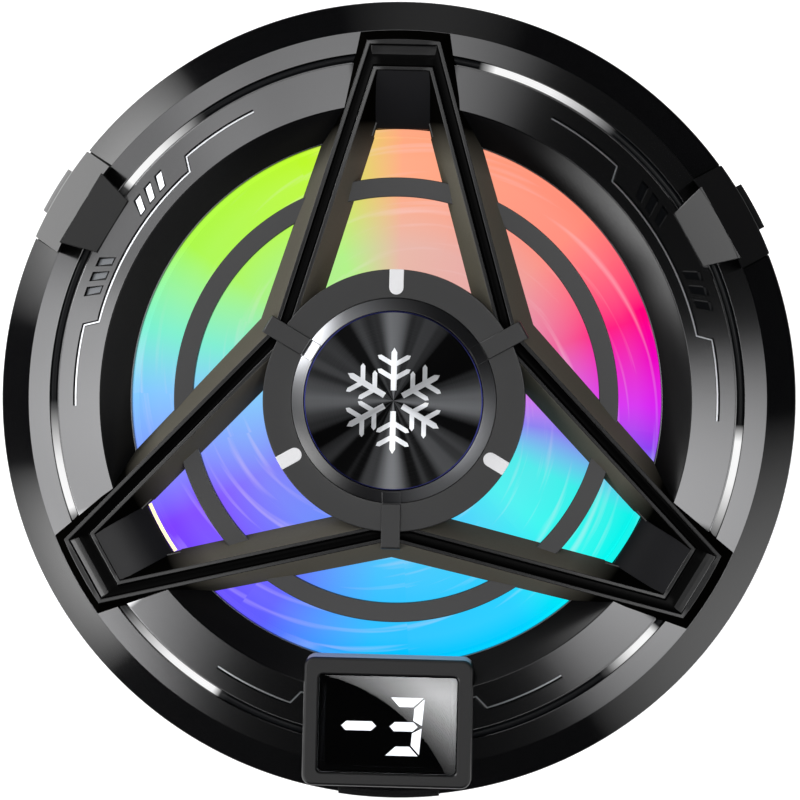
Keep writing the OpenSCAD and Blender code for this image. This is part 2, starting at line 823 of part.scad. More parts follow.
module front_bezel() {
  color("#101113") difference() {
    union() {
      rotate_extrude() polygon([
        [in_r, vent_z], [rim_r, vent_z], [rim_r, rim_z], [bezel_r, bezel_z], [bezel_r, deck_z],
        [in_r, deck_z - (in_r - bezel_r)]
      ]);
      intersection() {
        ring(rim_r - 0.6, rim_r + 0.2, vent_z + 0.2, rim_z - 0.2);
        at(270) bar(0, rim_r + 1, brow_w, vent_z, rim_z);
      }
    }
    display_column(fit, deck_z, bezel_z + 1);
    lug_frames() {
      bar(saddle_r - fit, rim_r + 1, lug_w + 2 * fit, vent_z - 1, bezel_z + 1);
      key_slot(in_r - 1, rim_r);
    }
  }
}

module deco_ring() {
  color("#4a4c50") difference() {
    rotate_extrude() polygon([
      [deco_r, deck_z], [bezel_r - fit, deck_z], [bezel_r - fit, deco_top(bezel_r - fit)],
      [deco_r, deco_top(deco_r)]
    ]);
    deco_shell(strip_in, strip_out, trim_depth, -2);
    intersection() {
      translate([0, 0, deck_z]) linear_extrude(height = deco_rise + 3) trim_outline(0);
      deco_shell(deco_r, bezel_r, trim_depth, -2);
    }
    star_plug(fit);
    display_column(fit, deck_z - 1, display_z);
    for (a = arm_at) at(a, grille_screw_r, deck_z - 1) cylinder(h = 3, r = small_screw_d / 2 + fit);
  }
}

module light_strip() {
  color("#d9dbe0") difference() {
    deco_shell(strip_in + fit, strip_out - fit, trim_depth, trim_depth - inlay_t);
    star_plug(2 * fit);
    display_column(2 * fit, deck_z, display_z);
  }
}

module trim_inlays() {
  color("#0c0d0f") difference() {
    intersection() {
      translate([0, 0, deck_z]) linear_extrude(height = deco_rise + 3) trim_outline(fit);
      deco_shell(deco_r, bezel_r, trim_depth, trim_depth - inlay_t);
    }
    display_column(2 * fit, deck_z, display_z);
  }
}

module intake_funnel() {
  out = deco_r - fit;
  color("#0e0f11") difference() {
    rotate_extrude() polygon([
      [duct_r, deck_z], [out, deck_z], [out, deco_top(deco_r) - 0.1], [duct_r, duct_z]
    ]);
    star_plug(fit);
    display_column(fit, deck_z - 1, display_z);
  }
}

module star_grille() {
  color("#161719") difference() {
    union() {
      intersection() {
        star_frame();
        cylinder(h = hub_z + 1, r = bezel_r - 2 * fit);
      }
      ring(guard_r - guard_w / 2, guard_r + guard_w / 2, guard_z, guard_z + guard_t);
      translate([0, 0, hub_z - bar_h]) cylinder(h = bar_h - hub_ring_t, r = hub_r);
    }
    translate([0, 0, hub_low]) cylinder(h = hub_ring_t + 1, r = hub_r + fit);
    translate([0, 0, hub_z - bar_h - 1]) cylinder(h = bar_h - hub_ring_t, r = hub_r - 2.2);
  }
}

module arm_inserts() {
  top_out = tip_z - 0.1;
  top_in = duct_z + 0.1;
  color("#2c2d30") for (a = arm_at) difference() {
    intersection() {
      rotate([0, 0, a]) slab(2 * insert_half_w) polygon([
        [insert_in, deck_z], [insert_out - 0.2, deck_z], [insert_out - 0.2, top_out],
        [insert_out - 1.9, top_out - 0.45], [insert_out - 3.6, top_out - 1], [insert_in, top_in]
      ]);
      star_plug(0);
    }
    star_blank(fit);
    at(a, grille_screw_r, deck_z - 1) cylinder(h = grille_bite + 1.2, r = small_screw_d / 2 + fit);
  }
}

module grille_screws() {
  color("#9b9ea3") for (a = arm_at) at(a, grille_screw_r) {
    translate([0, 0, deck_low - small_head_h]) cylinder(h = small_head_h, r = small_head_r);
    translate([0, 0, deck_low]) cylinder(h = deck_t + grille_bite, r = small_screw_d / 2);
  }
}

module tick_outline(gap) {
  x = hub_r - tick_len + tick_w / 2;
  translate([x, 0]) circle(r = tick_w / 2 - gap);
  translate([x, gap - tick_w / 2]) square([tick_len, tick_w - 2 * gap]);
}

module hub_ring() {
  color("#3b3d41") difference() {
    ring(bevel_r + fit, hub_r, hub_low, hub_z);
    for (a = arm_at) at(a, 0, hub_low - 1) linear_extrude(height = hub_ring_t + 2) tick_outline(0);
  }
}

module hub_ticks() {
  color("#f2f3f5") for (a = arm_at) at(a, 0, hub_low) linear_extrude(height = hub_ring_t) intersection() {
    tick_outline(fit);
    circle(r = hub_r);
  }
}

module hub_tabs() {
  high = hub_z + fit + tab_t;
  out = hub_r + tab_reach;
  color("#34363a") for (a = zone_at) difference() {
    rotate([0, 0, a]) slab(tab_w) polygon([
      [bevel_r + 0.1, hub_z], [bevel_r + 0.1, high], [out - 0.15, high], [out, high - 0.15],
      [out, hub_z - 1.2], [hub_r + 0.9, hub_z - 1.2], [hub_r + 0.9, hub_z]
    ]);
    star_blank(fit);
  }
}

module cap_bezel() {
  color("#0d0e10") rotate_extrude() polygon([
    [cap_r + fit, hub_low], [bevel_r, hub_low], [bevel_r, hub_z], [cap_r + fit, hub_z + cap_lift - 0.05]
  ]);
}

module hub_cap() {
  edge = 0.15;
  color("#232427") rotate_extrude() polygon([
    [0, hub_low], [cap_r, hub_low], [cap_r, hub_z + cap_lift - edge], [cap_r - edge, hub_z + cap_lift],
    [0, hub_z + cap_lift]
  ]);
}

module lens_column(w, l, z0, z1) {
  translate([0, display_y, z0]) linear_extrude(height = z1 - z0) rounded(w, l, 0.4);
}

module display_housing() {
  color("#2e2f33") difference() {
    display_column(0, deck_z, display_z);
    lens_column(lens_w + 2 * fit, lens_l + 2 * fit, lens_z - lens_t - fit, display_z + 1);
    lens_column(module_w + 2 * fit, module_l + 2 * fit, deck_z - 1, display_z);
    translate([0, 0, deck_z - 1]) cylinder(h = duct_z - deck_z + 1, r = duct_r);
  }
}

module display_lens() {
  color("#050608") lens_column(lens_w, lens_l, lens_z - lens_t, lens_z);
}

module display_module() {
  color("#0a0b0c") lens_column(module_w, module_l, deck_z, module_z);
}

function leaned(p) = [p[0] + (p[1] - digit_h / 2) * tan(digit_lean), p[1] - digit_h / 2];

// One level segment between two heights, from the left to the right end of a digit
module level_seg(y0, y1, in0, in1) {
  g = seg_gap;
  polygon([
    leaned([in0 + g, y0]), leaned([digit_w - in0 - g, y0]), leaned([digit_w - in1 - g, y1]),
    leaned([in1 + g, y1])
  ]);
}

// The right-hand upright segment between two heights
module upright_seg(y0, y1, cut0, cut1) {
  polygon([
    leaned([digit_w, y0]), leaned([digit_w, y1]), leaned([digit_w - seg_w, y1 - cut1]),
    leaned([digit_w - seg_w, y0 + cut0])
  ]);
}

// The middle segment, with pointed ends, between two distances from the digit's sides
module middle_seg(in0, in1) {
  y = digit_h / 2;
  half = seg_w / 2;
  x0 = in0 + half;
  x1 = digit_w - in1 - half;
  polygon([
    leaned([in0, y]), leaned([x0, y - half]), leaned([x1, y - half]), leaned([digit_w - in1, y]),
    leaned([x1, y + half]), leaned([x0, y + half])
  ]);
}

module display_segments() {
  color("#ffffff") translate([digit_x - digit_w / 2, display_y + digit_y, module_z])
    linear_extrude(height = seg_t) {
      middle_seg(0, 0);
      translate([digit_pitch, 0]) {
        middle_seg(2 * seg_gap, 3 * seg_gap);
        level_seg(0, seg_w, 0, seg_w);
        level_seg(digit_h - seg_w, digit_h, seg_w, 0);
        upright_seg(seg_gap, digit_h / 2 - seg_gap, seg_w, 0.55 * seg_w);
        upright_seg(digit_h / 2 + seg_gap, digit_h - seg_gap, 0.55 * seg_w, seg_w);
      }
    }
}

module lug() {
  in_end = rim_r - lug_reach;
  end_half = lug_end_w / 2;
  tail_half = lug_tail_w / 2;
  half = lug_w / 2;
  difference() {
    intersection() {
      slab(lug_w) polygon([
        [in_end, deco_top(in_end) + fit], [ridge_r, bezel_z + lug_lift], [lug_r, rim_z + 0.3],
        [lug_r + 1, rim_z + 0.3], [lug_r + 1, vent_z + fit], [saddle_r, vent_z + fit],
        [saddle_r, bezel_top(saddle_r) + fit], [bezel_r, bezel_z + fit]
      ]);
      translate([0, 0, vent_z]) linear_extrude(height = display_z - vent_z) polygon([
        [in_end - 0.1, -end_half], [ridge_r, -tail_half], [ridge_r, -half], [lug_r + 2, -half],
        [lug_r + 2, half], [ridge_r, half], [ridge_r, tail_half], [in_end - 0.1, end_half]
      ]);
      translate([0, 0, vent_z]) cylinder(h = display_z - vent_z, r = lug_r);
    }
    key_slot(saddle_r - 1, lug_r + 1);
  }
}

module left_lug() {
  color("#131416") at(left_at) lug();
}

module right_lug() {
  color("#131416") at(right_at) lug();
}

module button() {
  z0 = key_z - key_h / 2;
  z1 = key_z + key_h / 2;
  intersection() {
    bar(in_r - 0.4, lug_r + key_stand + 1, key_w, z0, z1);
    translate([0, 0, z0]) cylinder(h = key_h, r = lug_r + key_stand);
  }
  bar(in_r - 0.8, in_r - 0.3, key_w + 1.2, z0, z1);
  bar(key_in, in_r - 0.6, 2, z0 + 0.2, z1 - 0.2);
}

module left_button() {
  color("#1a1b1e") at(left_at) button();
}

module right_button() {
  color("#1a1b1e") at(right_at) button();
}

module side_switches() {
  color("#3f4146") lug_frames() bar(switch_out - switch_l, switch_out, 3.6, key_z - 0.8, deck_low);
}

module control_board() {
  z0 = usb_z + usb_h / 2;
  color("#1f3d2b") translate([-control_w / 2, -in_r + control_inset, z0])
    cube([control_w, control_l, board_t]);
}

module usb_column(w, h, y0, y1) {
  translate([0, y1, usb_z]) rotate([90, 0, 0]) linear_extrude(height = y1 - y0) stadium(w, h);
}

module usb_shell() {
  inside = usb_mouth - usb_l;
  color("#b9bcc1") difference() {
    usb_column(usb_w, usb_h, -usb_mouth, -inside);
    usb_column(usb_w - 2 * usb_wall, usb_h - 2 * usb_wall, -usb_mouth - 1, -inside - 1);
  }
}

module usb_tongue() {
  color("#141416") translate([-tongue_w / 2, -usb_mouth + tongue_back, usb_z - tongue_t / 2])
    cube([tongue_w, usb_l - 1 - tongue_back, tongue_t]);
}

rear_cover();
silicone_ring();
magnet_ring();
cold_plate();
cold_pad();
peltier_cold_ceramic();
peltier_pellets();
peltier_hot_ceramic();
hot_pad();
foam_gasket();
heatsink();
clamp_screws();
vent_ring();
case_screws();
fan_frame();
frame_screws();
motor_board();
stator_core();
stator_coils();
bearing_sleeve();
thrust_washer();
shaft();
rotor_magnet();
rotor_yoke();
impeller();
front_housing();
led_board();
leds();
front_bezel();
deco_ring();
light_strip();
trim_inlays();
intake_funnel();
star_grille();
arm_inserts();
grille_screws();
hub_ring();
hub_ticks();
hub_tabs();
cap_bezel();
hub_cap();
display_housing();
display_lens();
display_module();
display_segments();
left_lug();
right_lug();
left_button();
right_button();
side_switches();
control_board();
usb_shell();
usb_tongue();
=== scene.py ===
"""Looks of a round magnetic phone cooler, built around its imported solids.

A lit fan turns behind a three-armed star grille. A glossy bezel, a cone-shaped deco ring with engraved
trims, a hub with a spun metal cap, a small display and two side keys surround it. Points are worked out
in millimetres, in the frame of the solids, and become metres when a mesh is made.
"""

import logging
import math
from dataclasses import dataclass, field
from enum import Enum
from functools import cache
from typing import Callable, Sequence

import bmesh
import bpy
from mathutils import Matrix, Vector


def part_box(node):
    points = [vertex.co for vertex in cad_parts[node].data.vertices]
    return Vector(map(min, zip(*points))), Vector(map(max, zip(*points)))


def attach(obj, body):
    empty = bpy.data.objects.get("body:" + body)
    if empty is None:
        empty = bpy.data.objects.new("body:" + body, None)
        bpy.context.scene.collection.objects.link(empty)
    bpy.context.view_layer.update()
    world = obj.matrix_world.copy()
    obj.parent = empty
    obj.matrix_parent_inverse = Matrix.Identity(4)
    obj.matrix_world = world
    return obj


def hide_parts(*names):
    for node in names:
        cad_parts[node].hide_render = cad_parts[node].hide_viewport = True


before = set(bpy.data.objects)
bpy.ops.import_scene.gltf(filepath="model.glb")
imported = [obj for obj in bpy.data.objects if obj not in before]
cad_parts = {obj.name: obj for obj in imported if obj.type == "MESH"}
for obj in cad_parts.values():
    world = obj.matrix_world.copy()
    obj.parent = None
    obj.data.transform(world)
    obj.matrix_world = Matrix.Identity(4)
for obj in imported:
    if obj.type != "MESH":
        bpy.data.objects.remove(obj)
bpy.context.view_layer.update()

LOG = logging.getLogger("cooler")
MM = 0.001
CASE = "case"
# Angles of the star's arms and of the zones between them, in degrees
ARMS = (90.0, 210.0, 330.0)
ZONES = (30.0, 150.0, 270.0)
LEFT = 150.0
RIGHT = 30.0
TURNS = (0, 120, 240)
# Steps of a full turn
TURN_STEPS = 300
# Gap between neighbouring rings
FIT = 0.05
# Largest share of an edge that a rounded corner takes up
CORNER_SHARE = 0.49
# Shape of the star's arms
STAR_ANGLE = 16.2
STAR_LINE = 11.83
TIP_Y = 31.35
TIP_Z = 21.1
BAR_SLOPE = 0.1267
BAR_H = 3.1
BAR_DRAFT = 1.52
FOOT_Y = 32.18
FOOT_BOW = 0.24
FOOT_SIDE = 0.59
FOOT_LIFT = 0.31

Point2 = tuple[float, float]
Point3 = tuple[float, float, float]
Colour = tuple[float, float, float]
Socket = bpy.types.NodeSocket


def node_low(node: str) -> Vector:
    """Lowest corner of a solid, in millimetres."""
    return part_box(node)[0] / MM


def node_high(node: str) -> Vector:
    """Highest corner of a solid, in millimetres."""
    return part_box(node)[1] / MM


def linear(hex_code: str) -> Colour:
    """Turns a screen colour into linear light.

    Args:
        hex_code: Six hexadecimal digits, red first.

    Returns:
        Linear red, green and blue.
    """
    values = [int(hex_code[i:i + 2], 16) / 255 for i in (0, 2, 4)]
    red, green, blue = (v / 12.92 if v <= 0.04045 else ((v + 0.055) / 1.055) ** 2.4 for v in values)
    return red, green, blue


def polar(radius: float, degrees: float) -> Point2:
    """Point at a radius and an angle."""
    return radius * math.cos(math.radians(degrees)), radius * math.sin(math.radians(degrees))


def turned(point: Sequence[float], degrees: float) -> Point2:
    """A point turned about the fan's axis."""
    c, s = math.cos(math.radians(degrees)), math.sin(math.radians(degrees))
    return point[0] * c - point[1] * s, point[0] * s + point[1] * c


def arm_half(y: float, grown: float) -> float:
    """Half width of a star arm.

    Args:
        y: Distance from the fan's axis along the arm.
        grown: Distance outside the arm's outer lip.

    Returns:
        Half of the width there.
    """
    lean = math.radians(STAR_ANGLE)
    return (STAR_LINE + grown - y * math.sin(lean)) / math.cos(lean)


def arm_foot(y: float) -> Point3:
    """Point on the foot of a star arm's outer wall.

    Args:
        y: Distance from the fan's axis along the arm.

    Returns:
        The point, for an arm along +Y.
    """
    reach = (STAR_LINE + BAR_DRAFT) / math.cos(math.radians(30 - STAR_ANGLE))
    heel = Vector((*polar(reach, 30), node_high("hub_ring").z - BAR_H))
    toe = Vector((arm_half(FOOT_Y, BAR_DRAFT - FOOT_SIDE), FOOT_Y, TIP_Z - BAR_H + FOOT_LIFT))
    x, y, z = heel.lerp(toe, (y - heel.y) / (toe.y - heel.y))
    return x, y, z


def spaced(start: float, stop: float, count: int) -> list[float]:
    """Evenly spaced values from start to stop, both included."""
    return [start + (stop - start) * i / (count - 1) for i in range(count)]


def rounded(corners: Sequence[Point3], steps: int = 4) -> list[Point2]:
    """Rounds the corners of a closed outline.

    Args:
        corners: Corners as (x, y, setback). A setback of 0 keeps the corner sharp.
        steps: Points along one rounded corner.

    Returns:
        The outline's points.
    """
    outline: list[Point2] = []
    count = len(corners)
    for i, (x, y, setback) in enumerate(corners):
        here = Vector((x, y))
        if setback <= 0:
            outline.append((x, y))
            continue
        before = Vector(corners[i - 1][:2]) - here
        after = Vector(corners[(i + 1) % count][:2]) - here
        run = min(setback, before.length * CORNER_SHARE, after.length * CORNER_SHARE)
        first, last = here + before.normalized() * run, here + after.normalized() * run
        for t in spaced(0, 1, steps + 1):
            point = first * (1 - t) ** 2 + here * 2 * t * (1 - t) + last * t ** 2
            outline.append((point.x, point.y))
    return outline


def rounded_box(width: float, length: float, corner: float, steps: int = 6) -> list[Point2]:
    """Outline of a box with rounded corners, centred on the origin.

    Args:
        width: Size along X.
        length: Size along Y.
        corner: Radius of the corners.
        steps: Points along one corner, less one.

    Returns:
        The outline's points, anticlockwise.
    """
    outline: list[Point2] = []
    for quarter, (sx, sy) in enumerate(((1, 1), (-1, 1), (-1, -1), (1, -1))):
        for angle in spaced(90 * quarter, 90 * quarter + 90, steps + 1):
            x, y = polar(corner, angle)
            outline.append((sx * (width / 2 - corner) + x, sy * (length / 2 - corner) + y))
    return outline


@dataclass
class Shape:
    """A mesh in the making, with points in millimetres."""

    points: list[Point3] = field(default_factory=list)
    faces: list[tuple[int, ...]] = field(default_factory=list)

    def add(self, other: "Shape") -> "Shape":
        """Takes up another shape.

        Args:
            other: The shape to take up.

        Returns:
            This shape.
        """
        shift = len(self.points)
        self.points += other.points
        self.faces += [tuple(i + shift for i in face) for face in other.faces]
        return self

    def at(self, degrees: float) -> "Shape":
        """A copy turned about the fan's axis."""
        return Shape([(*turned(p, degrees), p[2]) for p in self.points], list(self.faces))


def loft(loops: Sequence[Sequence[Point3]], tube: bool = False) -> Shape:
    """Joins closed loops of equal length.

    Args:
        loops: The loops, in order.
        tube: Joins the last loop to the first; otherwise both ends are closed.

    Returns:
        The closed shape.
    """
    size, count = len(loops[0]), len(loops)
    shape = Shape([p for loop in loops for p in loop])
    for i in range(count if tube else count - 1):
        low, high = i * size, ((i + 1) % count) * size
        for j in range(size):
            k = (j + 1) % size
            shape.faces.append((low + j, low + k, high + k, high + j))
    if not tube:
        shape.faces.append(tuple(range(size))[::-1])
        shape.faces.append(tuple(range((count - 1) * size, count * size)))
    return shape


def lathe(profile: Sequence[Point2], steps: int = TURN_STEPS) -> Shape:
    """Turns a closed profile of (radius, height) a full turn about the fan's axis."""
    angles = [360 * i / steps for i in range(steps)]
    return loft([[(*polar(r, a), z) for r, z in profile] for a in angles], tube=True)


def sweep(profile: Sequence[Point2], ends: Callable[[float], Point2], steps: int) -> Shape:
    """Turns a closed profile part of a turn, and closes both ends.

    Args:
        profile: Points as (radius, height).
        ends: Gives the first and last angle for a radius.
        steps: Steps along the arc.

    Returns:
        The closed shape.
    """
    loops = []
    for t in spaced(0, 1, steps + 1):
        loop = []
        for r, z in profile:
            start, stop = ends(r)
            loop.append((*polar(r, start + (stop - start) * t), z))
        loops.append(loop)
    return loft(loops)


def band(profile: Sequence[Point2], middle: float, half_width: float, steps: int = 12) -> Shape:
    """A stretch of a turned profile, cut off by two parallel planes.

    Args:
        profile: Points as (radius, height).
        middle: Angle of the stretch's middle.
        half_width: Distance from the middle to each plane.
        steps: Steps along the arc.

    Returns:
        The closed shape.
    """
    def ends(radius: float) -> Point2:
        """First and last angle at a radius."""
        half = math.degrees(math.asin(half_width / radius))
        return middle - half, middle + half
    return sweep(profile, ends, steps)


def slab(profile: Sequence[Point2], width: float, degrees: float) -> Shape:
    """A closed profile of (radius, height), made width wide and turned to an angle."""
    loops = [[(r, side * width / 2, z) for r, z in profile] for side in (1, -1)]
    return loft(loops).at(degrees)


def prism(outline: Sequence[Point2], low: float, high: float) -> Shape:
    """A closed outline raised from one height to another."""
    return loft([[(x, y, z) for x, y in outline] for z in (low, high)])


def bead(middle: Point2, half_w: float, half_h: float) -> list[Point2]:
    """A small oval profile of (radius, height) around its middle."""
    angles = spaced(0, math.tau, 9)[:-1]
    return [(middle[0] + half_w * math.cos(a), middle[1] + half_h * math.sin(a)) for a in angles]


class Sheet:
    """Places nodes in a node tree and links them."""

    def __init__(self, tree: bpy.types.NodeTree) -> None:
        """Takes the tree to work on."""
        self.tree = tree

    def add(self, kind: str, **settings: object) -> bpy.types.Node:
        """Adds a node.

        Args:
            kind: The node's type, without the leading "ShaderNode".
            settings: Properties to set on it.

        Returns:
            The node.
        """
        node = self.tree.nodes.new("ShaderNode" + kind)
        for name, value in settings.items():
            setattr(node, name, value)
        return node

    def link(self, source: Socket, target: Socket) -> None:
        """Links two sockets."""
        self.tree.links.new(source, target)

    def feed(self, target: Socket, term: object) -> None:
        """Gives an input its value.

        Args:
            target: The input.
            term: A number, a linear colour or an output socket.
        """
        if isinstance(term, Socket):
            self.link(term, target)
        else:
            target.default_value = (*term, 1) if isinstance(term, tuple) else term

    def math(self, operation: str, *terms: object) -> Socket:
        """A math node whose terms are numbers or sockets.

        Args:
            operation: Blender's name of the operation.
            terms: One to three numbers or output sockets.

        Returns:
            The node's output.
        """
        node = self.add("Math", operation=operation)
        for socket, term in zip(node.inputs, terms):
            self.feed(socket, term)
        return node.outputs[0]

    def point(self, *terms: object) -> Socket:
        """A vector of one to three terms.

        Args:
            terms: Numbers or output sockets.

        Returns:
            The vector.
        """
        node = self.add("CombineXYZ")
        for socket, term in zip(node.inputs, terms):
            self.feed(socket, term)
        return node.outputs[0]

    def x_and_y(self, place: Socket) -> tuple[Socket, Socket]:
        """The first two coordinates of a place.

        Args:
            place: A position.

        Returns:
            Its X and its Y.
        """
        split = self.add("SeparateXYZ")
        self.link(place, split.inputs[0])
        return split.outputs[0], split.outputs[1]

    def far(self, x: Socket, y: Socket) -> Socket:
        """Distance of a point in the plane from the origin."""
        squares = self.math("ADD", self.math("POWER", x, 2.0), self.math("POWER", y, 2.0))
        return self.math("SQRT", squares)

    def noise(self, vector: Socket, scale: object, detail: float = 2.0) -> Socket:
        """A noise value.

        Args:
            vector: Where the noise is read.
            scale: A number or an output socket.
            detail: Octaves of the noise.

        Returns:
            The noise's value, around 0.5.
        """
        node = self.add("TexNoise")
        node.inputs["Detail"].default_value = detail
        self.feed(node.inputs["Scale"], scale)
        self.link(vector, node.inputs["Vector"])
        return node.outputs[0]

    def remap(self, value: Socket, source: Point2, target: Point2) -> Socket:
        """Maps a value from one range to another, and keeps it inside the second.

        Args:
            value: The value.
            source: The range that it is read in.
            target: The range that it is mapped to.

        Returns:
            The mapped value.
        """
        node = self.add("MapRange")
        for name, number in zip(("From Min", "From Max", "To Min", "To Max"), (*source, *target)):
            node.inputs[name].default_value = number
        self.link(value, node.inputs["Value"])
        return node.outputs[0]

    def ramp(self, value: Socket, stops: Sequence[tuple[float, Colour]]) -> Socket:
        """A colour ramp.

        Args:
            value: Where the ramp is read, from 0 to 1.
            stops: Places and linear colours.

        Returns:
            The colour.
        """
        node = self.add("ValToRGB")
        elements = node.color_ramp.elements
        for element, (place, colour) in ((elements[0], stops[0]), (elements[-1], stops[-1])):
            element.position = place
            element.color = (*colour, 1)
        for place, colour in stops[1:-1]:
            elements.new(place).color = (*colour, 1)
        self.link(value, node.inputs[0])
        return node.outputs[0]

    def blend(self, mode: str, amount: object, first: object, second: object) -> Socket:
        """Mixes two colours.

        Args:
            mode: Blender's name of the blend mode.
            amount: A number or an output socket.
            first: A linear colour or an output socket.
            second: A linear colour or an output socket.

        Returns:
            The mixed colour.
        """
        node = self.add("Mix", data_type="RGBA", blend_type=mode)
        for socket, term in ((node.inputs[0], amount), (node.inputs[6], first), (node.inputs[7], second)):
            self.feed(socket, term)
        return node.outputs[2]


# Colours of the fan's light around the axis, as degrees and screen colour
LIGHT_WHEEL = (
    (-180, "88C8FF"), (-150, "8450FF"), (-120, "6868FF"), (-95, "30C0FF"), (-60, "28D0FF"), (-40, "30F8F0"),
    (-25, "30F0E8"), (-10, "9050F0"), (0, "D838F0"), (20, "FF1C80"), (45, "FF9080"), (90, "FFAC88"),
    (112, "C0F840"), (145, "B0F858"), (165, "80F0D0"), (180, "88C8FF"),
)
# Pale light that reaches the middle of the fan, its share, and the radii where it fades
HUB_HAZE = "88D8F0"
HAZE_SHARE = 0.25
HAZE_FADE = (13.5, 18.5)
# Richer colour at the fan's rim, and the radii where it sets in
RIM_SATURATION = 1.03
RIM_FADE = (21.0, 22.4)
# Thin swirling streaks of painted highlight in the fan's light, standing in for gleams on the blades: colour,
# rings per metre, swirl, and length
STREAK_COLOUR = "FFE9F2"
STREAK_PITCH = 900.0
STREAK_SWIRL = 2.2
STREAK_LENGTH = 0.8
# Radii where the painted fan light fades on the walls around the fan, and the share that is left beyond
SPILL_FADE = (21.0, 24.5)
SPILL_LEFT = 0.012
# Where the painted sheen on the cap's bevel is brightest, in degrees, and the colour that it is painted in
SHEEN_AT = 145.0
SHEEN_COLOUR = "8C8D90"
# Painted reflections on the ring strip, glowing stretches where lamps would be mirrored in it: bright at the
# first angle, faded out at the second
PAINTED_REFLECTION_STRETCHES = ((-5, -23), (-41, -51), (75, 52), (142, 126), (-160, -178), (-121, -141))
# Scale of the faint mottling, per metre
MOTTLE_SCALE = 90.0


def metres(span: Point2) -> Point2:
    """A range of millimetres in metres."""
    return span[0] * MM, span[1] * MM


def ramp_place(degrees: float) -> float:
    """Place of an angle on a ramp that runs once around the axis."""
    return (degrees + 180) / 360


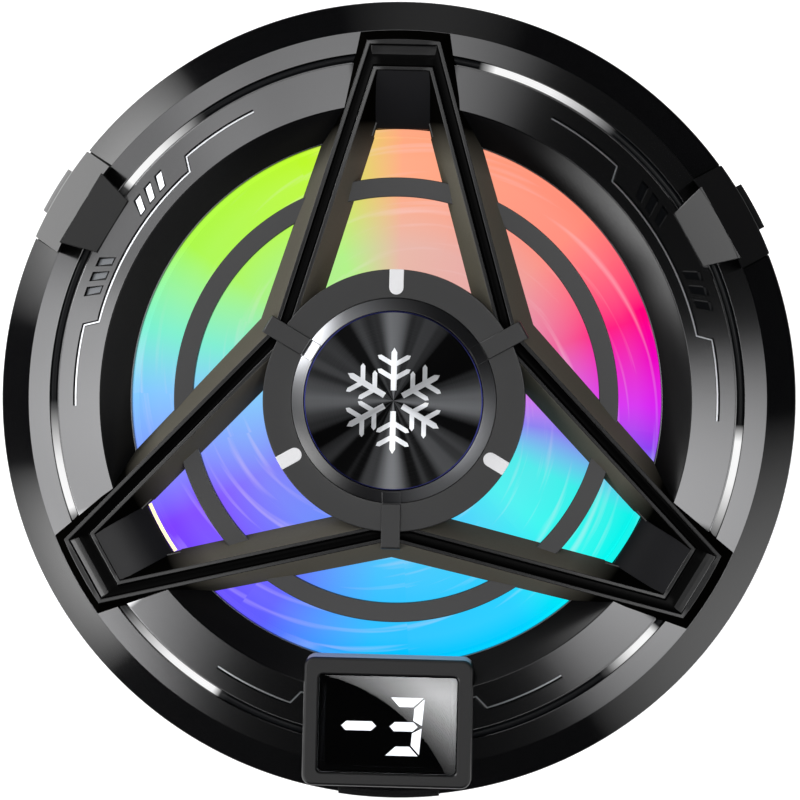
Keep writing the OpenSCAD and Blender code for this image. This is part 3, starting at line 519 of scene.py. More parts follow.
class Effect:
    """Shader node groups that several finishes share, each built once."""

    @staticmethod
    def start(name: str, inputs: Sequence[str], outputs: Sequence[str]) -> tuple[Sheet, bpy.types.Node]:
        """Starts a group with its sockets.

        Args:
            name: The group's name.
            inputs: Names of its number inputs.
            outputs: Names of its outputs. One named Color is a colour, any other a number.

        Returns:
            The group's nodes and its output node.
        """
        tree = bpy.data.node_groups.new(name, "ShaderNodeTree")
        for socket in inputs:
            tree.interface.new_socket(socket, in_out="INPUT", socket_type="NodeSocketFloat")
        for socket in outputs:
            kind = "NodeSocketColor" if socket == "Color" else "NodeSocketFloat"
            tree.interface.new_socket(socket, in_out="OUTPUT", socket_type=kind)
        return Sheet(tree), tree.nodes.new("NodeGroupOutput")

    @staticmethod
    @cache
    def grain() -> bpy.types.NodeTree:
        """Moulding grain and faint mottling over a surface.

        Returns:
            A group with inputs Scale and Spread, and outputs Tone, Rough and Height.
        """
        sheet, sink = Effect.start("moulding_grain", ("Scale", "Spread"), ("Tone", "Rough", "Height"))
        source = sheet.tree.nodes.new("NodeGroupInput")
        place = sheet.add("TexCoord").outputs["Object"]
        fine = sheet.noise(place, source.outputs["Scale"], 3.0)
        broad = sheet.noise(place, MOTTLE_SCALE)
        both = sheet.math("MULTIPLY_ADD", fine, 0.5, sheet.math("MULTIPLY", broad, 0.5))
        centred = sheet.math("MULTIPLY", sheet.math("SUBTRACT", both, 0.5), source.outputs["Spread"])
        sheet.link(sheet.math("ADD", centred, 1.0), sink.inputs["Tone"])
        sheet.link(sheet.math("MULTIPLY", centred, 0.6), sink.inputs["Rough"])
        sheet.link(fine, sink.inputs["Height"])
        return sheet.tree

    @staticmethod
    @cache
    def spun() -> bpy.types.NodeTree:
        """Fine turned grooves around the fan's axis, with soft sectors of painted sheen in the tone.

        Returns:
            A group with inputs Pitch and Spread, and outputs Tone and Height.
        """
        sheet, sink = Effect.start("spun_grooves_and_painted_sheen", ("Pitch", "Spread"), ("Tone", "Height"))
        source = sheet.tree.nodes.new("NodeGroupInput")
        x, y = sheet.x_and_y(sheet.add("TexCoord").outputs["Object"])
        angle = sheet.math("ARCTAN2", y, x)
        rings = sheet.point(sheet.math("MULTIPLY", sheet.far(x, y), source.outputs["Pitch"]))
        groove = sheet.noise(rings, 1.0, 3.0)
        fan = sheet.point(sheet.math("COSINE", angle), sheet.math("SINE", angle))
        # Painted sheen: bright sectors by angle, four narrow ones and some at random, lighten the tone
        sector = sheet.remap(sheet.noise(fan, 3.4, 1.5), (0.38, 0.66), (0.0, 1.0))
        quarter = sheet.math("COSINE", sheet.math("MULTIPLY", angle, 4.0))
        quarter = sheet.math("POWER", sheet.math("MULTIPLY_ADD", quarter, 0.5, 0.5), 7.0)
        painted_sheen = sheet.math("MULTIPLY_ADD", quarter, 0.7, sheet.math("MULTIPLY", sector, 0.35))
        both = sheet.math("MULTIPLY_ADD", groove, 0.25, sheet.math("MULTIPLY", painted_sheen, 0.75))
        centred = sheet.math("MULTIPLY", sheet.math("SUBTRACT", both, 0.5), source.outputs["Spread"])
        sheet.link(sheet.math("MAXIMUM", sheet.math("ADD", centred, 1.0), 0.05), sink.inputs["Tone"])
        sheet.link(groove, sink.inputs["Height"])
        return sheet.tree

    @staticmethod
    @cache
    def stretches() -> bpy.types.NodeTree:
        """Painted reflections: glowing stretches around the axis, each with one sharp and one faded end.

        Returns:
            A group with output Color.
        """
        sheet, sink = Effect.start("painted_reflection_stretches", (), ("Color",))
        x, y = sheet.x_and_y(sheet.add("NewGeometry").outputs["Position"])
        stops: list[tuple[float, Colour]] = [(0.0, (0, 0, 0))]
        for bright, faded in sorted(PAINTED_REFLECTION_STRETCHES, key=min):
            ends = [(faded, 0.0), (bright + (faded - bright) * 0.45, 0.9), (bright, 0.95),
                    (bright + math.copysign(1.5, bright - faded), 0.0)]
            stops += [(ramp_place(degrees), (value, value, value)) for degrees, value in sorted(ends)]
        stops.append((1.0, (0, 0, 0)))
        place = sheet.math("MULTIPLY_ADD", sheet.math("ARCTAN2", y, x), 1 / math.tau, 0.5)
        sheet.link(sheet.ramp(place, stops), sink.inputs["Color"])
        return sheet.tree

    @staticmethod
    @cache
    def spill() -> bpy.types.NodeTree:
        """How much painted fan light a place takes in its tone, by its distance from the axis.

        Returns:
            A group with output Mask.
        """
        sheet, sink = Effect.start("fan_spill", (), ("Mask",))
        x, y = sheet.x_and_y(sheet.add("NewGeometry").outputs["Position"])
        mask = sheet.remap(sheet.far(x, y), metres(SPILL_FADE), (1.0, SPILL_LEFT))
        sheet.link(mask, sink.inputs["Mask"])
        return sheet.tree

    @staticmethod
    @cache
    def painted_sheen() -> bpy.types.NodeTree:
        """Painted sheen: two opposite stretches around the axis.

        Returns:
            A group with output Mask.
        """
        sheet, sink = Effect.start("rim_sheen", (), ("Mask",))
        x, y = sheet.x_and_y(sheet.add("NewGeometry").outputs["Position"])
        turn = sheet.math("MULTIPLY_ADD", sheet.math("ARCTAN2", y, x), 2.0, -2 * math.radians(SHEEN_AT))
        lobe = sheet.math("MULTIPLY_ADD", sheet.math("COSINE", turn), 0.5, 0.5)
        sheet.link(sheet.math("POWER", lobe, 2.5), sink.inputs["Mask"])
        return sheet.tree

    @staticmethod
    @cache
    def wheel() -> bpy.types.NodeTree:
        """The fan light's colours around the axis, with thin swirling streaks of painted highlight.

        Returns:
            A group with input Streaks and output Color.
        """
        sheet, sink = Effect.start("light_wheel", ("Streaks",), ("Color",))
        source = sheet.tree.nodes.new("NodeGroupInput")
        x, y = sheet.x_and_y(sheet.add("NewGeometry").outputs["Position"])
        radius, angle = sheet.far(x, y), sheet.math("ARCTAN2", y, x)
        place = sheet.math("MULTIPLY_ADD", angle, 1 / math.tau, 0.5)
        plain = sheet.ramp(place, [(ramp_place(degrees), linear(code)) for degrees, code in LIGHT_WHEEL])
        hazy = sheet.blend("MIX", HAZE_SHARE, plain, linear(HUB_HAZE))
        rich = sheet.add("HueSaturation")
        rich.inputs["Saturation"].default_value = RIM_SATURATION
        sheet.link(plain, rich.inputs["Color"])
        near_hub = sheet.remap(radius, metres(HAZE_FADE), (1.0, 0.0))
        near_rim = sheet.remap(radius, metres(RIM_FADE), (0.0, 1.0))
        colour = sheet.blend("MIX", near_hub, plain, hazy)
        colour = sheet.blend("MIX", near_rim, colour, rich.outputs[0])
        rings = sheet.math("MULTIPLY_ADD", radius, STREAK_PITCH, sheet.math("MULTIPLY", angle, STREAK_SWIRL))
        swirl = sheet.point(rings, sheet.math("MULTIPLY", angle, STREAK_LENGTH))
        lines = sheet.remap(sheet.noise(swirl, 1.3, 2.5), (0.56, 0.72), (0.0, 1.0))
        bright = sheet.math("MULTIPLY", lines, source.outputs["Streaks"])
        sheet.link(sheet.blend("MIX", bright, colour, linear(STREAK_COLOUR)), sink.inputs["Color"])
        return sheet.tree


class Coat(Enum):
    """How a finish meets the light."""

    PLASTIC = "plastic"
    METAL = "metal"
    SPUN = "spun"
    GLASS = "glass"
    WHEEL = "wheel"
    STRETCH = "stretch"
    SPILL = "spill"
    SHEEN = "painted_sheen"


@dataclass(frozen=True)
class Finish:
    """One surface finish.

    Attributes:
        slot: The record's material slot.
        colour: Screen colour as six hexadecimal digits.
        coat: How it meets the light.
        rough: Mean roughness.
        spread: How far tone and roughness wander.
        grain: Grain scale, per metre.
        relief: Bump strength of the grain.
        lacquer: Weight of a clear coat.
        glow: Emission strength.
        variant: Set where a slot has more than one finish.
        level: Specular level of a plastic.
    """

    slot: str
    colour: str
    coat: Coat = Coat.PLASTIC
    rough: float = 0.4
    spread: float = 0.25
    grain: float = 2500.0
    relief: float = 0.0
    lacquer: float = 0.0
    glow: float = 0.0
    variant: str = ""
    level: float = 0.5

    def material(self) -> bpy.types.Material:
        """The finish's material, made on first use.

        Returns:
            A material whose nodes give its colour, roughness and relief.
        """
        name = "finish_" + self.slot + self.variant
        known = bpy.data.materials.get(name)
        if known:
            return known
        material = bpy.data.materials.new(name)
        material.use_nodes = True
        sheet = Sheet(material.node_tree)
        shader = material.node_tree.nodes["Principled BSDF"]
        if self.coat == Coat.SPUN:
            self.dress_spun(sheet, shader)
        elif self.coat == Coat.WHEEL:
            self.dress_wheel(sheet, shader)
        elif self.coat == Coat.STRETCH:
            self.dress_grain(sheet, shader)
            # Painted reflections: the strip glows in stretches by its angle around the axis
            lit = sheet.add("Group", node_tree=Effect.stretches())
            sheet.link(lit.outputs["Color"], shader.inputs["Emission Color"])
            shader.inputs["Emission Strength"].default_value = 1.0
        else:
            self.dress_grain(sheet, shader)
        return material

    def dress_grain(self, sheet: Sheet, shader: bpy.types.Node) -> None:
        """Colour, roughness and relief from the moulding grain.

        Args:
            sheet: The material's nodes.
            shader: Its surface shader.
        """
        grain = sheet.add("Group", node_tree=Effect.grain())
        grain.inputs["Scale"].default_value = self.grain
        grain.inputs["Spread"].default_value = self.spread
        tone = sheet.blend("MULTIPLY", 1.0, linear(self.colour), grain.outputs["Tone"])
        # Painted light: the tone fades outward from the fan, standing in for its glow
        if self.coat == Coat.SPILL:
            spill = sheet.add("Group", node_tree=Effect.spill())
            tone = sheet.blend("MULTIPLY", 1.0, tone, spill.outputs["Mask"])
        if self.coat == Coat.SHEEN:
            # Painted sheen: the tone turns lighter and metallic in two stretches by angle
            painted_sheen = sheet.add("Group", node_tree=Effect.painted_sheen())
            tone = sheet.blend("MIX", painted_sheen.outputs["Mask"], tone, linear(SHEEN_COLOUR))
            sheet.link(painted_sheen.outputs["Mask"], shader.inputs["Metallic"])
        rough = sheet.math("ADD", grain.outputs["Rough"], self.rough)
        sheet.link(tone, shader.inputs["Base Color"])
        sheet.link(sheet.math("MAXIMUM", rough, 0.004), shader.inputs["Roughness"])
        shader.inputs["Coat Weight"].default_value = self.lacquer
        shader.inputs["Coat Roughness"].default_value = 0.05
        shader.inputs["Specular IOR Level"].default_value = self.level
        if self.coat == Coat.METAL:
            shader.inputs["Metallic"].default_value = 1.0
        if self.coat == Coat.GLASS:
            shader.inputs["Transmission Weight"].default_value = 1.0
            shader.inputs["IOR"].default_value = 1.5
        if self.glow > 0:
            sheet.link(tone, shader.inputs["Emission Color"])
            shader.inputs["Emission Strength"].default_value = self.glow
        if self.relief > 0:
            self.emboss(sheet, shader, grain.outputs["Height"], 0.02)

    def emboss(self, sheet: Sheet, shader: bpy.types.Node, height: Socket, depth: float) -> None:
        """Relief from a height.

        Args:
            sheet: The material's nodes.
            shader: Its surface shader.
            height: The height, from 0 to 1.
            depth: What a height of 1 stands for, in millimetres.
        """
        bump = sheet.add("Bump")
        bump.inputs["Strength"].default_value = self.relief
        bump.inputs["Distance"].default_value = depth * MM
        sheet.link(height, bump.inputs["Height"])
        sheet.link(bump.outputs[0], shader.inputs["Normal"])

    def dress_spun(self, sheet: Sheet, shader: bpy.types.Node) -> None:
        """Turned metal with grooves around the axis.

        Args:
            sheet: The material's nodes.
            shader: Its surface shader.
        """
        spun = sheet.add("Group", node_tree=Effect.spun())
        spun.inputs["Pitch"].default_value = self.grain
        spun.inputs["Spread"].default_value = self.spread
        tone = sheet.blend("MULTIPLY", 1.0, linear(self.colour), spun.outputs["Tone"])
        sheet.link(tone, shader.inputs["Base Color"])
        shader.inputs["Metallic"].default_value = 1.0
        shader.inputs["Roughness"].default_value = self.rough
        shader.inputs["Anisotropic"].default_value = 0.9
        tangent = sheet.add("Tangent", direction_type="RADIAL", axis="Z")
        sheet.link(tangent.outputs[0], shader.inputs["Tangent"])
        self.emboss(sheet, shader, spun.outputs["Height"], 0.01)

    def dress_wheel(self, sheet: Sheet, shader: bpy.types.Node) -> None:
        """Milky plastic that carries the fan light's colours.

        Args:
            sheet: The material's nodes.
            shader: Its surface shader.
        """
        wheel = sheet.add("Group", node_tree=Effect.wheel())
        wheel.inputs["Streaks"].default_value = self.spread
        sheet.link(wheel.outputs["Color"], shader.inputs["Emission Color"])
        shader.inputs["Emission Strength"].default_value = self.glow
        dim = sheet.blend("MULTIPLY", 1.0, wheel.outputs["Color"], linear(self.colour))
        sheet.link(dim, shader.inputs["Base Color"])
        shader.inputs["Roughness"].default_value = self.rough
        shader.inputs["Specular IOR Level"].default_value = self.level


MATTE_BLACK = Finish("matte_black", "16171A", rough=0.55, relief=0.35, spread=0.3)
GLOSS_BLACK = Finish("gloss_black", "060607", rough=0.1, spread=0.12, lacquer=0.4)
STAR_BLACK = Finish("gloss_black", "0B0B0C", rough=0.24, spread=0.12, variant="_star")
# Painted shade: near black with almost no reflection, for the star's groove floors and the lugs' inward
# walls; also the dark seams beside the lugs
RECESS_SHADE_BLACK = Finish("gloss_black", "030303", rough=0.3, spread=0.2, variant="_groove", level=0.03)
# Painted light: a pale taupe tone on the star's walls, faded outward, stands in for the fan's glow on them
STAR_WALL_PAINTED_GLOW = Finish("gloss_black", "55524A", coat=Coat.SPILL, rough=0.42, spread=0.3, grain=4000.0,
                   relief=0.25, variant="_wall", level=0.0)
FUNNEL_BLACK = Finish("gloss_black", "0A0A0B", rough=0.22, spread=0.12, variant="_funnel", level=0.32)
SHELL_BLACK = Finish("satin_black", "101011", rough=0.36, spread=0.12, variant="_shell", level=0.35)
WEDGE_BLACK = Finish("gloss_black", "0B0B0C", rough=0.26, spread=0.12, variant="_wedge", level=0.3)
# Painted shade: a darker, almost non-reflective copy of gloss black for the right lug's block and key
SHADE_BLACK = Finish("gloss_black", "030304", rough=0.3, spread=0.12, variant="_shade", level=0.006)
# Painted light: a more reflective copy for the right lug's wedge
TAIL_BLACK = Finish("gloss_black", "0B0B0C", rough=0.22, spread=0.12, variant="_tail", level=0.85)
# Painted light: a pale copy of the shell's finish for its face toward the fan
SHELL_PAINTED_GLOW = Finish("satin_black", "A09CA2", rough=0.5, spread=0.2, variant="_lit")
GUARD_GREY = Finish("satin_black", "2A2A2B", rough=0.4, spread=0.15, variant="_guard")
MODULE_BLACK = Finish("matte_black", "020202", rough=0.6, spread=0.1, variant="_module", level=0.05)
DECO_GREY = Finish("satin_grey", "727273", coat=Coat.METAL, rough=0.17, spread=0.06)
HUB_GREY = Finish("satin_grey", "171718", rough=0.36, spread=0.15, relief=0.2, variant="_hub")
INSERT_GREY = Finish("satin_grey", "18181A", rough=0.3, spread=0.15, variant="_insert", level=0.1)
# Painted sheen on the cap's bevel and on the tabs' feet
BEVEL_BLACK = Finish("gloss_black", "101012", coat=Coat.SHEEN, rough=0.3, spread=0.2, variant="_bevel")
INLAY_DARK = Finish("inlay_gloss", "0C0D0F", rough=0.12, spread=0.1)
# Painted highlight: glowing white for the bars in the left lug's slots
INLAY_PAINTED_GLINT = Finish("inlay_gloss", "F4F6FA", rough=0.3, spread=0.1, glow=1.0, variant="_lit")
# Painted reflections: a dark inlay that glows in stretches by angle
RING_STRIP = Finish("inlay_gloss", "0C0D0F", coat=Coat.STRETCH, rough=0.3, spread=0.1, variant="_ring",
                    level=0.1)
INLAY_PLATE = Finish("inlay_gloss", "686A6D", coat=Coat.METAL, rough=0.3, spread=0.15, variant="_plate")
# Painted highlight: a light silver for the strips along the engraved lines' inner edges
GLINT_SILVER = Finish("inlay_gloss", "E4E6EA", coat=Coat.METAL, rough=0.3, spread=0.1, variant="_silver")
# Spun finishes, here, on the frost mark and on the rear plate, carry painted sheen sectors in their tone
CAP_METAL = Finish("cap_metal", "4A4B4D", coat=Coat.SPUN, rough=0.3, spread=3.4, grain=26000.0, relief=0.15)
# Partly painted highlight: a blue-violet metal for the thin bead that gives the cap's edge its bright line
CAP_EDGE = Finish("cap_metal", "30336E", coat=Coat.METAL, rough=0.25, spread=0.2, variant="_edge")
FROST_MARK = Finish("cap_metal", "E4E6EA", coat=Coat.SPUN, rough=0.3, spread=0.9, grain=26000.0, relief=0.1,
                    variant="_mark")
TICK_WHITE = Finish("tick_white", "CDCDCF", rough=0.35, spread=0.1, glow=0.12)
SEGMENT_WHITE = Finish("segment_white", "FFFFFF", rough=0.4, spread=0.05, glow=5.0)
LENS_GLASS = Finish("lens", "8C8E92", coat=Coat.GLASS, rough=0.004, spread=0.01)
LIT_BLADE = Finish("lit_blade", "141518", coat=Coat.WHEEL, rough=0.6, spread=0.22, glow=1.0, level=0.08)
LED_WHITE = Finish("led_white", "F2F0E4", rough=0.35, spread=0.1, glow=0.5)
# Painted highlight: glowing cream for the glint past the left panel
GLINT_CREAM = Finish("led_white", "FFE9AC", rough=0.35, spread=0.1, glow=0.9, variant="_cream", level=0.0)
SILICONE = Finish("silicone", "2B2C30", rough=0.7, relief=0.3, spread=0.25)
MAGNET = Finish("magnet", "8B8E94", coat=Coat.METAL, rough=0.28, spread=0.25)
PLATE_ALUMINIUM = Finish("plate_aluminium", "C4C7CC", coat=Coat.SPUN, rough=0.32, spread=0.3, grain=18000.0,
                         relief=0.2)
SINK_ALUMINIUM = Finish("sink_aluminium", "A8ACB2", coat=Coat.METAL, rough=0.38, spread=0.3, relief=0.2)
THERMAL_PAD = Finish("thermal_pad", "6E7A88", rough=0.8, relief=0.4)
CERAMIC = Finish("ceramic", "ECEBE4", rough=0.6, relief=0.2)
PELLET = Finish("pellet", "6A655E", coat=Coat.METAL, rough=0.5)
FOAM = Finish("foam", "2E3034", rough=0.9, relief=0.9, grain=1600.0)
STEEL = Finish("steel", "A2A5AA", coat=Coat.METAL, rough=0.3, spread=0.3)
BOARD_GREEN = Finish("board_green", "14402A", rough=0.4, lacquer=0.3)
COPPER = Finish("copper", "B56E3C", coat=Coat.METAL, rough=0.35, spread=0.5, grain=5000.0, relief=0.5)
BRONZE = Finish("bronze", "A9824A", coat=Coat.METAL, rough=0.4, spread=0.3)
WASHER_WHITE = Finish("washer_white", "DAD7CA", rough=0.5)


def make_piece(name: str, shape: Shape, finish: Finish, nodes: Sequence[str] = (), body: str = CASE,
               edge: float = 0.0, crease: float = 32.0, cutter: Shape | None = None) -> bpy.types.Object:
    """Makes a piece, dresses it and hangs it on its body.

    Args:
        name: The piece's name.
        shape: Its mesh.
        finish: Its finish.
        nodes: Solids that it stands for.
        body: The body that it rides on.
        edge: Width of a soft edge in millimetres, 0 for none.
        crease: Edges sharper than this many degrees stay sharp.
        cutter: A shape to take away from it.

    Returns:
        The new object.
    """
    piece = place_mesh(name, shape)
    if cutter:
        carve(piece, cutter)
    mesh = piece.data
    shade(piece, crease)
    if edge > 0:
        soften(piece, edge)
    piece.modifiers.new("flat_faces", "WEIGHTED_NORMAL").keep_sharp = True
    mesh.materials.append(finish.material())
    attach(piece, body)
    if nodes:
        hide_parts(*nodes)
    LOG.info("%s: %d faces on %s", name, len(mesh.polygons), body)
    return piece


def paint_rows(piece: bpy.types.Object, finish: Finish, rows: Sequence[int], size: int) -> None:
    """Gives rows of a lofted piece's faces another finish.

    Args:
        piece: The piece.
        finish: The finish.
        rows: Numbers of the rows, each between two loops.
        size: Faces in a row.
    """
    piece.data.materials.append(finish.material())
    for row in rows:
        for face in piece.data.polygons[row * size:(row + 1) * size]:
            face.material_index = len(piece.data.materials) - 1


def place_mesh(name: str, shape: Shape) -> bpy.types.Object:
    """Puts a shape into the scene as a bare mesh.

    Args:
        name: The object's name.
        shape: The shape, in millimetres.

    Returns:
        The new object, with its faces turned outward.
    """
    mesh = bpy.data.meshes.new(name)
    mesh.from_pydata([tuple(c * MM for c in p) for p in shape.points], [], shape.faces)
    work = bmesh.new()
    work.from_mesh(mesh)
    bmesh.ops.remove_doubles(work, verts=work.verts, dist=0.001 * MM)
    bmesh.ops.recalc_face_normals(work, faces=work.faces)
    work.to_mesh(mesh)
    work.free()
    placed = bpy.data.objects.new(name, mesh)
    bpy.context.scene.collection.objects.link(placed)
    return placed


def shade(piece: bpy.types.Object, crease: float) -> None:
    """Smooths a piece's faces, apart from edges sharper than crease degrees."""
    piece.data.shade_smooth()
    piece.data.set_sharp_from_angle(angle=math.radians(crease))


def soften(piece: bpy.types.Object, width: float, steps: int = 2) -> None:
    """Rounds a piece's sharp edges.

    Args:
        piece: The piece.
        width: Width of the rounding in millimetres.
        steps: Faces across one edge.
    """
    bevel = piece.modifiers.new("soft_edges", "BEVEL")
    bevel.width = width * MM
    bevel.segments = steps
    bevel.limit_method = "ANGLE"
    bevel.angle_limit = math.radians(24)


def carve(piece: bpy.types.Object, cutter: Shape) -> None:
    """Cuts a shape out of a piece for good.

    Args:
        piece: The piece to cut.
        cutter: The shape to take away.
    """
    tool = place_mesh("cutter", cutter)
    cut = piece.modifiers.new("cut", "BOOLEAN")
    cut.operation = "DIFFERENCE"
    cut.solver = "EXACT"
    cut.use_self = True
    cut.object = tool
    bpy.context.view_layer.update()
    shown = piece.evaluated_get(bpy.context.evaluated_depsgraph_get())
    result = bpy.data.meshes.new_from_object(shown)
    piece.modifiers.remove(cut)
    old = piece.data
    piece.data = result
    result.name = old.name
    bpy.data.meshes.remove(old)
    spent = tool.data
    bpy.data.objects.remove(tool)
    bpy.data.meshes.remove(spent)


@dataclass
class FrontRing:
    """Bezel, deco ring with its trims, and funnel."""

    rim_r: float = node_high("vent_ring").x
    wall_low: float = node_low("front_bezel").z
    bezel_z: float = node_high("front_bezel").z
    deck_z: float = node_low("deco_ring").z
    deco_z: float = node_high("deco_ring").z
    bezel_r: float = node_high("deco_ring").x + FIT
    deco_r: float = node_high("intake_funnel").x + FIT
    funnel_w: float = 2.65
    duct_z: float = 19.6
    lip_r: float = 0.07
    shell_t: float = 1.6
    rim_z: float = 16.2
    strip_inset: float = 1.96
    strip_w: float = 0.8
    strip_gap: float = 0.06
    strip_h: float = 0.3
    trim_depth: float = 0.45
    trim_w: float = 0.3
    cut_above: float = 0.5
    flare: float = 0.35
    inlay_t: float = 0.18
    inlay_gap: float = 0.02
    glint_in: float = 0.09
    glint_w: float = 0.12
    glint_rise: float = 0.15
    line_gap: float = 1.04
    line_step: float = 1.24
    line_turns: Point3 = (16.6, 17.9, 32.4)
    slot_gap: float = 0.55
    slot_len: float = 1.4
    slot_half: float = 0.88
    slot_places: tuple[float, ...] = (5.9, 8.7, 11.5)
    slot_lean: float = 0.7
    slot_bed: float = 0.1
    plate_inset: float = 0.14
    seam: float = 0.13
    lug_half: float = 4.4
    brow_half: float = 4.45
    brow_in: float = 0.5
    brow_rise: float = 0.42
    arm_start: float = 19.0
    core_end: float = 28.0
    core_inset: float = 2.9
    cut_floor: float = 0.1
    cut_top: float = 3.0
    arm_gap: float = 0.03
    arm_top: float = 4.0
    window_side: float = 0.6
    window_back: float = 0.3

    def cone_z(self, radius: float) -> float:
        """Height of the deco ring's cone at a radius."""
        slope = (self.deco_z - self.bezel_z) / (self.bezel_r - self.deco_r)
        return self.bezel_z + (self.bezel_r - radius) * slope

    def build(self) -> None:
        """Builds the ring's pieces."""
        self.build_bezel()
        self.build_deco()
        self.build_trims()
        self.build_funnel()

    def build_bezel(self) -> None:
        """The glossy rim, open at the lugs, and its brow over the inlet."""
        in_r = self.rim_r - self.shell_t
        profile = rounded((
            (in_r, self.wall_low, 0), (self.rim_r, self.wall_low, 0.12), (self.rim_r, self.rim_z, 0.08),
            (self.bezel_r, self.bezel_z, 0), (self.bezel_r, self.deck_z, 0), (in_r, self.rim_z, 0)))
        shape = Shape()
        for start, stop, steps in ((RIGHT, LEFT, 120), (LEFT, RIGHT + 360, 240)):
            def ends(radius: float, first: float = start, last: float = stop) -> Point2:
                """First and last angle, clear of the lugs."""
                half = math.degrees(math.asin((self.lug_half + self.seam) / radius))
                return first + half, last - half
            shape.add(sweep(profile, ends, steps))
        make_piece("bezel", shape, GLOSS_BLACK, ("front_bezel",))
        out_r = -node_low("front_bezel").y
        in_r, low = self.rim_r - self.brow_in, self.wall_low + 0.2
        brow = rounded((
            (in_r, low, 0), (out_r, low, 0.08), (out_r, self.rim_z - 0.1, 0.1),
            (in_r, self.rim_z + self.brow_rise, 0)))
        make_piece("inlet_brow", band(brow, 270, self.brow_half), WEDGE_BLACK, edge=0.06)

    def build_deco(self) -> None:
        """The cone-shaped ring with its ring groove, lines and slots."""
        out_r = self.bezel_r - 0.02
        strip_out = self.bezel_r - self.strip_inset
        strip_in = strip_out - self.strip_w
        depth, above = self.trim_depth, -self.cut_above
        profile = rounded((
            (self.deco_r, self.deck_z, 0), (out_r, self.deck_z, 0), (out_r, self.cone_z(out_r), 0),
            (strip_out, self.cone_z(strip_out), 0.07), (strip_out, self.cone_z(strip_out) - depth, 0),
            (strip_in, self.cone_z(strip_in) - depth, 0), (strip_in, self.cone_z(strip_in), 0.07),
            (self.deco_r, self.deco_z, 0.05)), 3)
        cutter = self.clearing()
        for zone in ZONES:
            cutter.add(self.strip(self.line_path(), self.trim_w / 2, depth, above).at(zone))
        for zone, side, place in self.slot_spots():
            cutter.add(self.slot(side, place, 0.0, depth, above).at(zone))
        make_piece("deco_cone", lathe(profile), DECO_GREY, ("deco_ring",), crease=28, cutter=cutter)

    def slot_spots(self) -> list[tuple[float, int, float]]:
        """Zone, side and place of every slot."""
        sides = [(zone, side) for zone in (LEFT, RIGHT) for side in (-1, 1)]
        return [(zone, side, place) for zone, side in sides for place in self.slot_places]

    def build_trims(self) -> None:
        """Inlays at the bottom of the lines and the slots, and the strip in the groove."""
        low, high = self.trim_depth, self.trim_depth - self.inlay_t
        lines, edges, beds, plates, bars = (Shape() for _ in range(5))
        inner_edge = [(r - self.trim_w / 2 + self.glint_in, a) for r, a in self.line_path()]
        for zone in ZONES:
            lines.add(self.strip(self.line_path(), self.trim_w / 2 - self.inlay_gap, low, high).at(zone))
            # Painted highlight: a silver strip along each line's inner edge stands in for the gleam of a
            # polished chamfer; as metal it also reflects the lamps
            edges.add(self.strip(inner_edge, self.glint_w / 2, low, high - self.glint_rise).at(zone))
        for zone, side, place in self.slot_spots():
            beds.add(self.slot(side, place, self.inlay_gap, low, low - self.slot_bed).at(zone))
            # Painted light: only the left lug's slots take inlays, lighter metal plates on one side and
            # glowing bars on the other, where light falls; the right slots keep dark beds
            if zone == LEFT:
                inlay = self.slot(side, place, self.plate_inset, low - self.slot_bed / 2, high).at(zone)
                (bars if side < 0 else plates).add(inlay)
        make_piece("line_inlays", lines, INLAY_DARK, ("trim_inlays",), cutter=self.window())
        make_piece("line_glint_strips", edges, GLINT_SILVER, cutter=self.window())
        make_piece("slot_inlays", beds, INLAY_DARK)
        make_piece("slot_plates", plates, INLAY_PLATE)
        make_piece("painted_glint_bars", bars, INLAY_PAINTED_GLINT)
        self.build_strip()

    def build_strip(self) -> None:
        """The strip in the ring groove, with a round top, glowing in stretches of painted reflection."""
        middle = self.bezel_r - self.strip_inset - self.strip_w / 2
        half = self.strip_w / 2 - self.strip_gap
        floor = self.cone_z(middle) - self.trim_depth
        angles = spaced(0, math.pi, 9)
        tube = [(middle + half * math.cos(a), floor + self.strip_h * math.sin(a)) for a in angles]
        tube += [(middle - half, floor - 0.1), (middle + half, floor - 0.1)]
        make_piece("ring_strip", lathe(tube), RING_STRIP, ("light_strip",), cutter=self.clearing())

    def build_funnel(self) -> None:
        """The black cone down to the fan opening, and its lip."""
        duct_r = self.deco_r - self.funnel_w
        out_r = self.deco_r - 0.03
        profile = rounded((
            (duct_r, self.deck_z, 0), (out_r, self.deck_z, 0), (out_r, self.deco_z - 0.12, 0.06),
            (duct_r, self.duct_z, 0.2)), 3)
        make_piece("funnel", lathe(profile), FUNNEL_BLACK, ("intake_funnel",), cutter=self.clearing())
        lip = bead((duct_r + self.lip_r, self.duct_z), self.lip_r, self.lip_r)
        make_piece("funnel_lip", lathe(lip), INLAY_PLATE, cutter=self.clearing())

    def clearing(self) -> Shape:
        """Room for the star's arms and the display in the pieces below them.

        Returns:
            The room, as a cutter.
        """
        shape = Shape()
        loops = []
        lips = [(arm_half(y, 0), y, TIP_Z + (TIP_Y - y) * BAR_SLOPE) for y in (self.arm_start, TIP_Y)]
        feet = [arm_foot(self.arm_start), arm_foot(FOOT_Y)]
        for ends in (feet, lips, [(x, y, z + self.arm_top) for x, y, z in lips]):
            ends = [(x - self.arm_gap, y - self.arm_gap, z) for x, y, z in ends]
            loops.append(ends + [(-x, y, z) for x, y, z in ends[::-1]])
        core = [(arm_half(y, -self.core_inset), y) for y in (self.arm_start, self.core_end)]
        core += [(-x, y) for x, y in core[::-1]]
        for turn in TURNS:
            shape.add(loft(loops).at(turn))
            shape.add(prism(core, self.deck_z + self.cut_floor, self.deco_z + self.cut_top).at(turn))
        return shape.add(self.window())

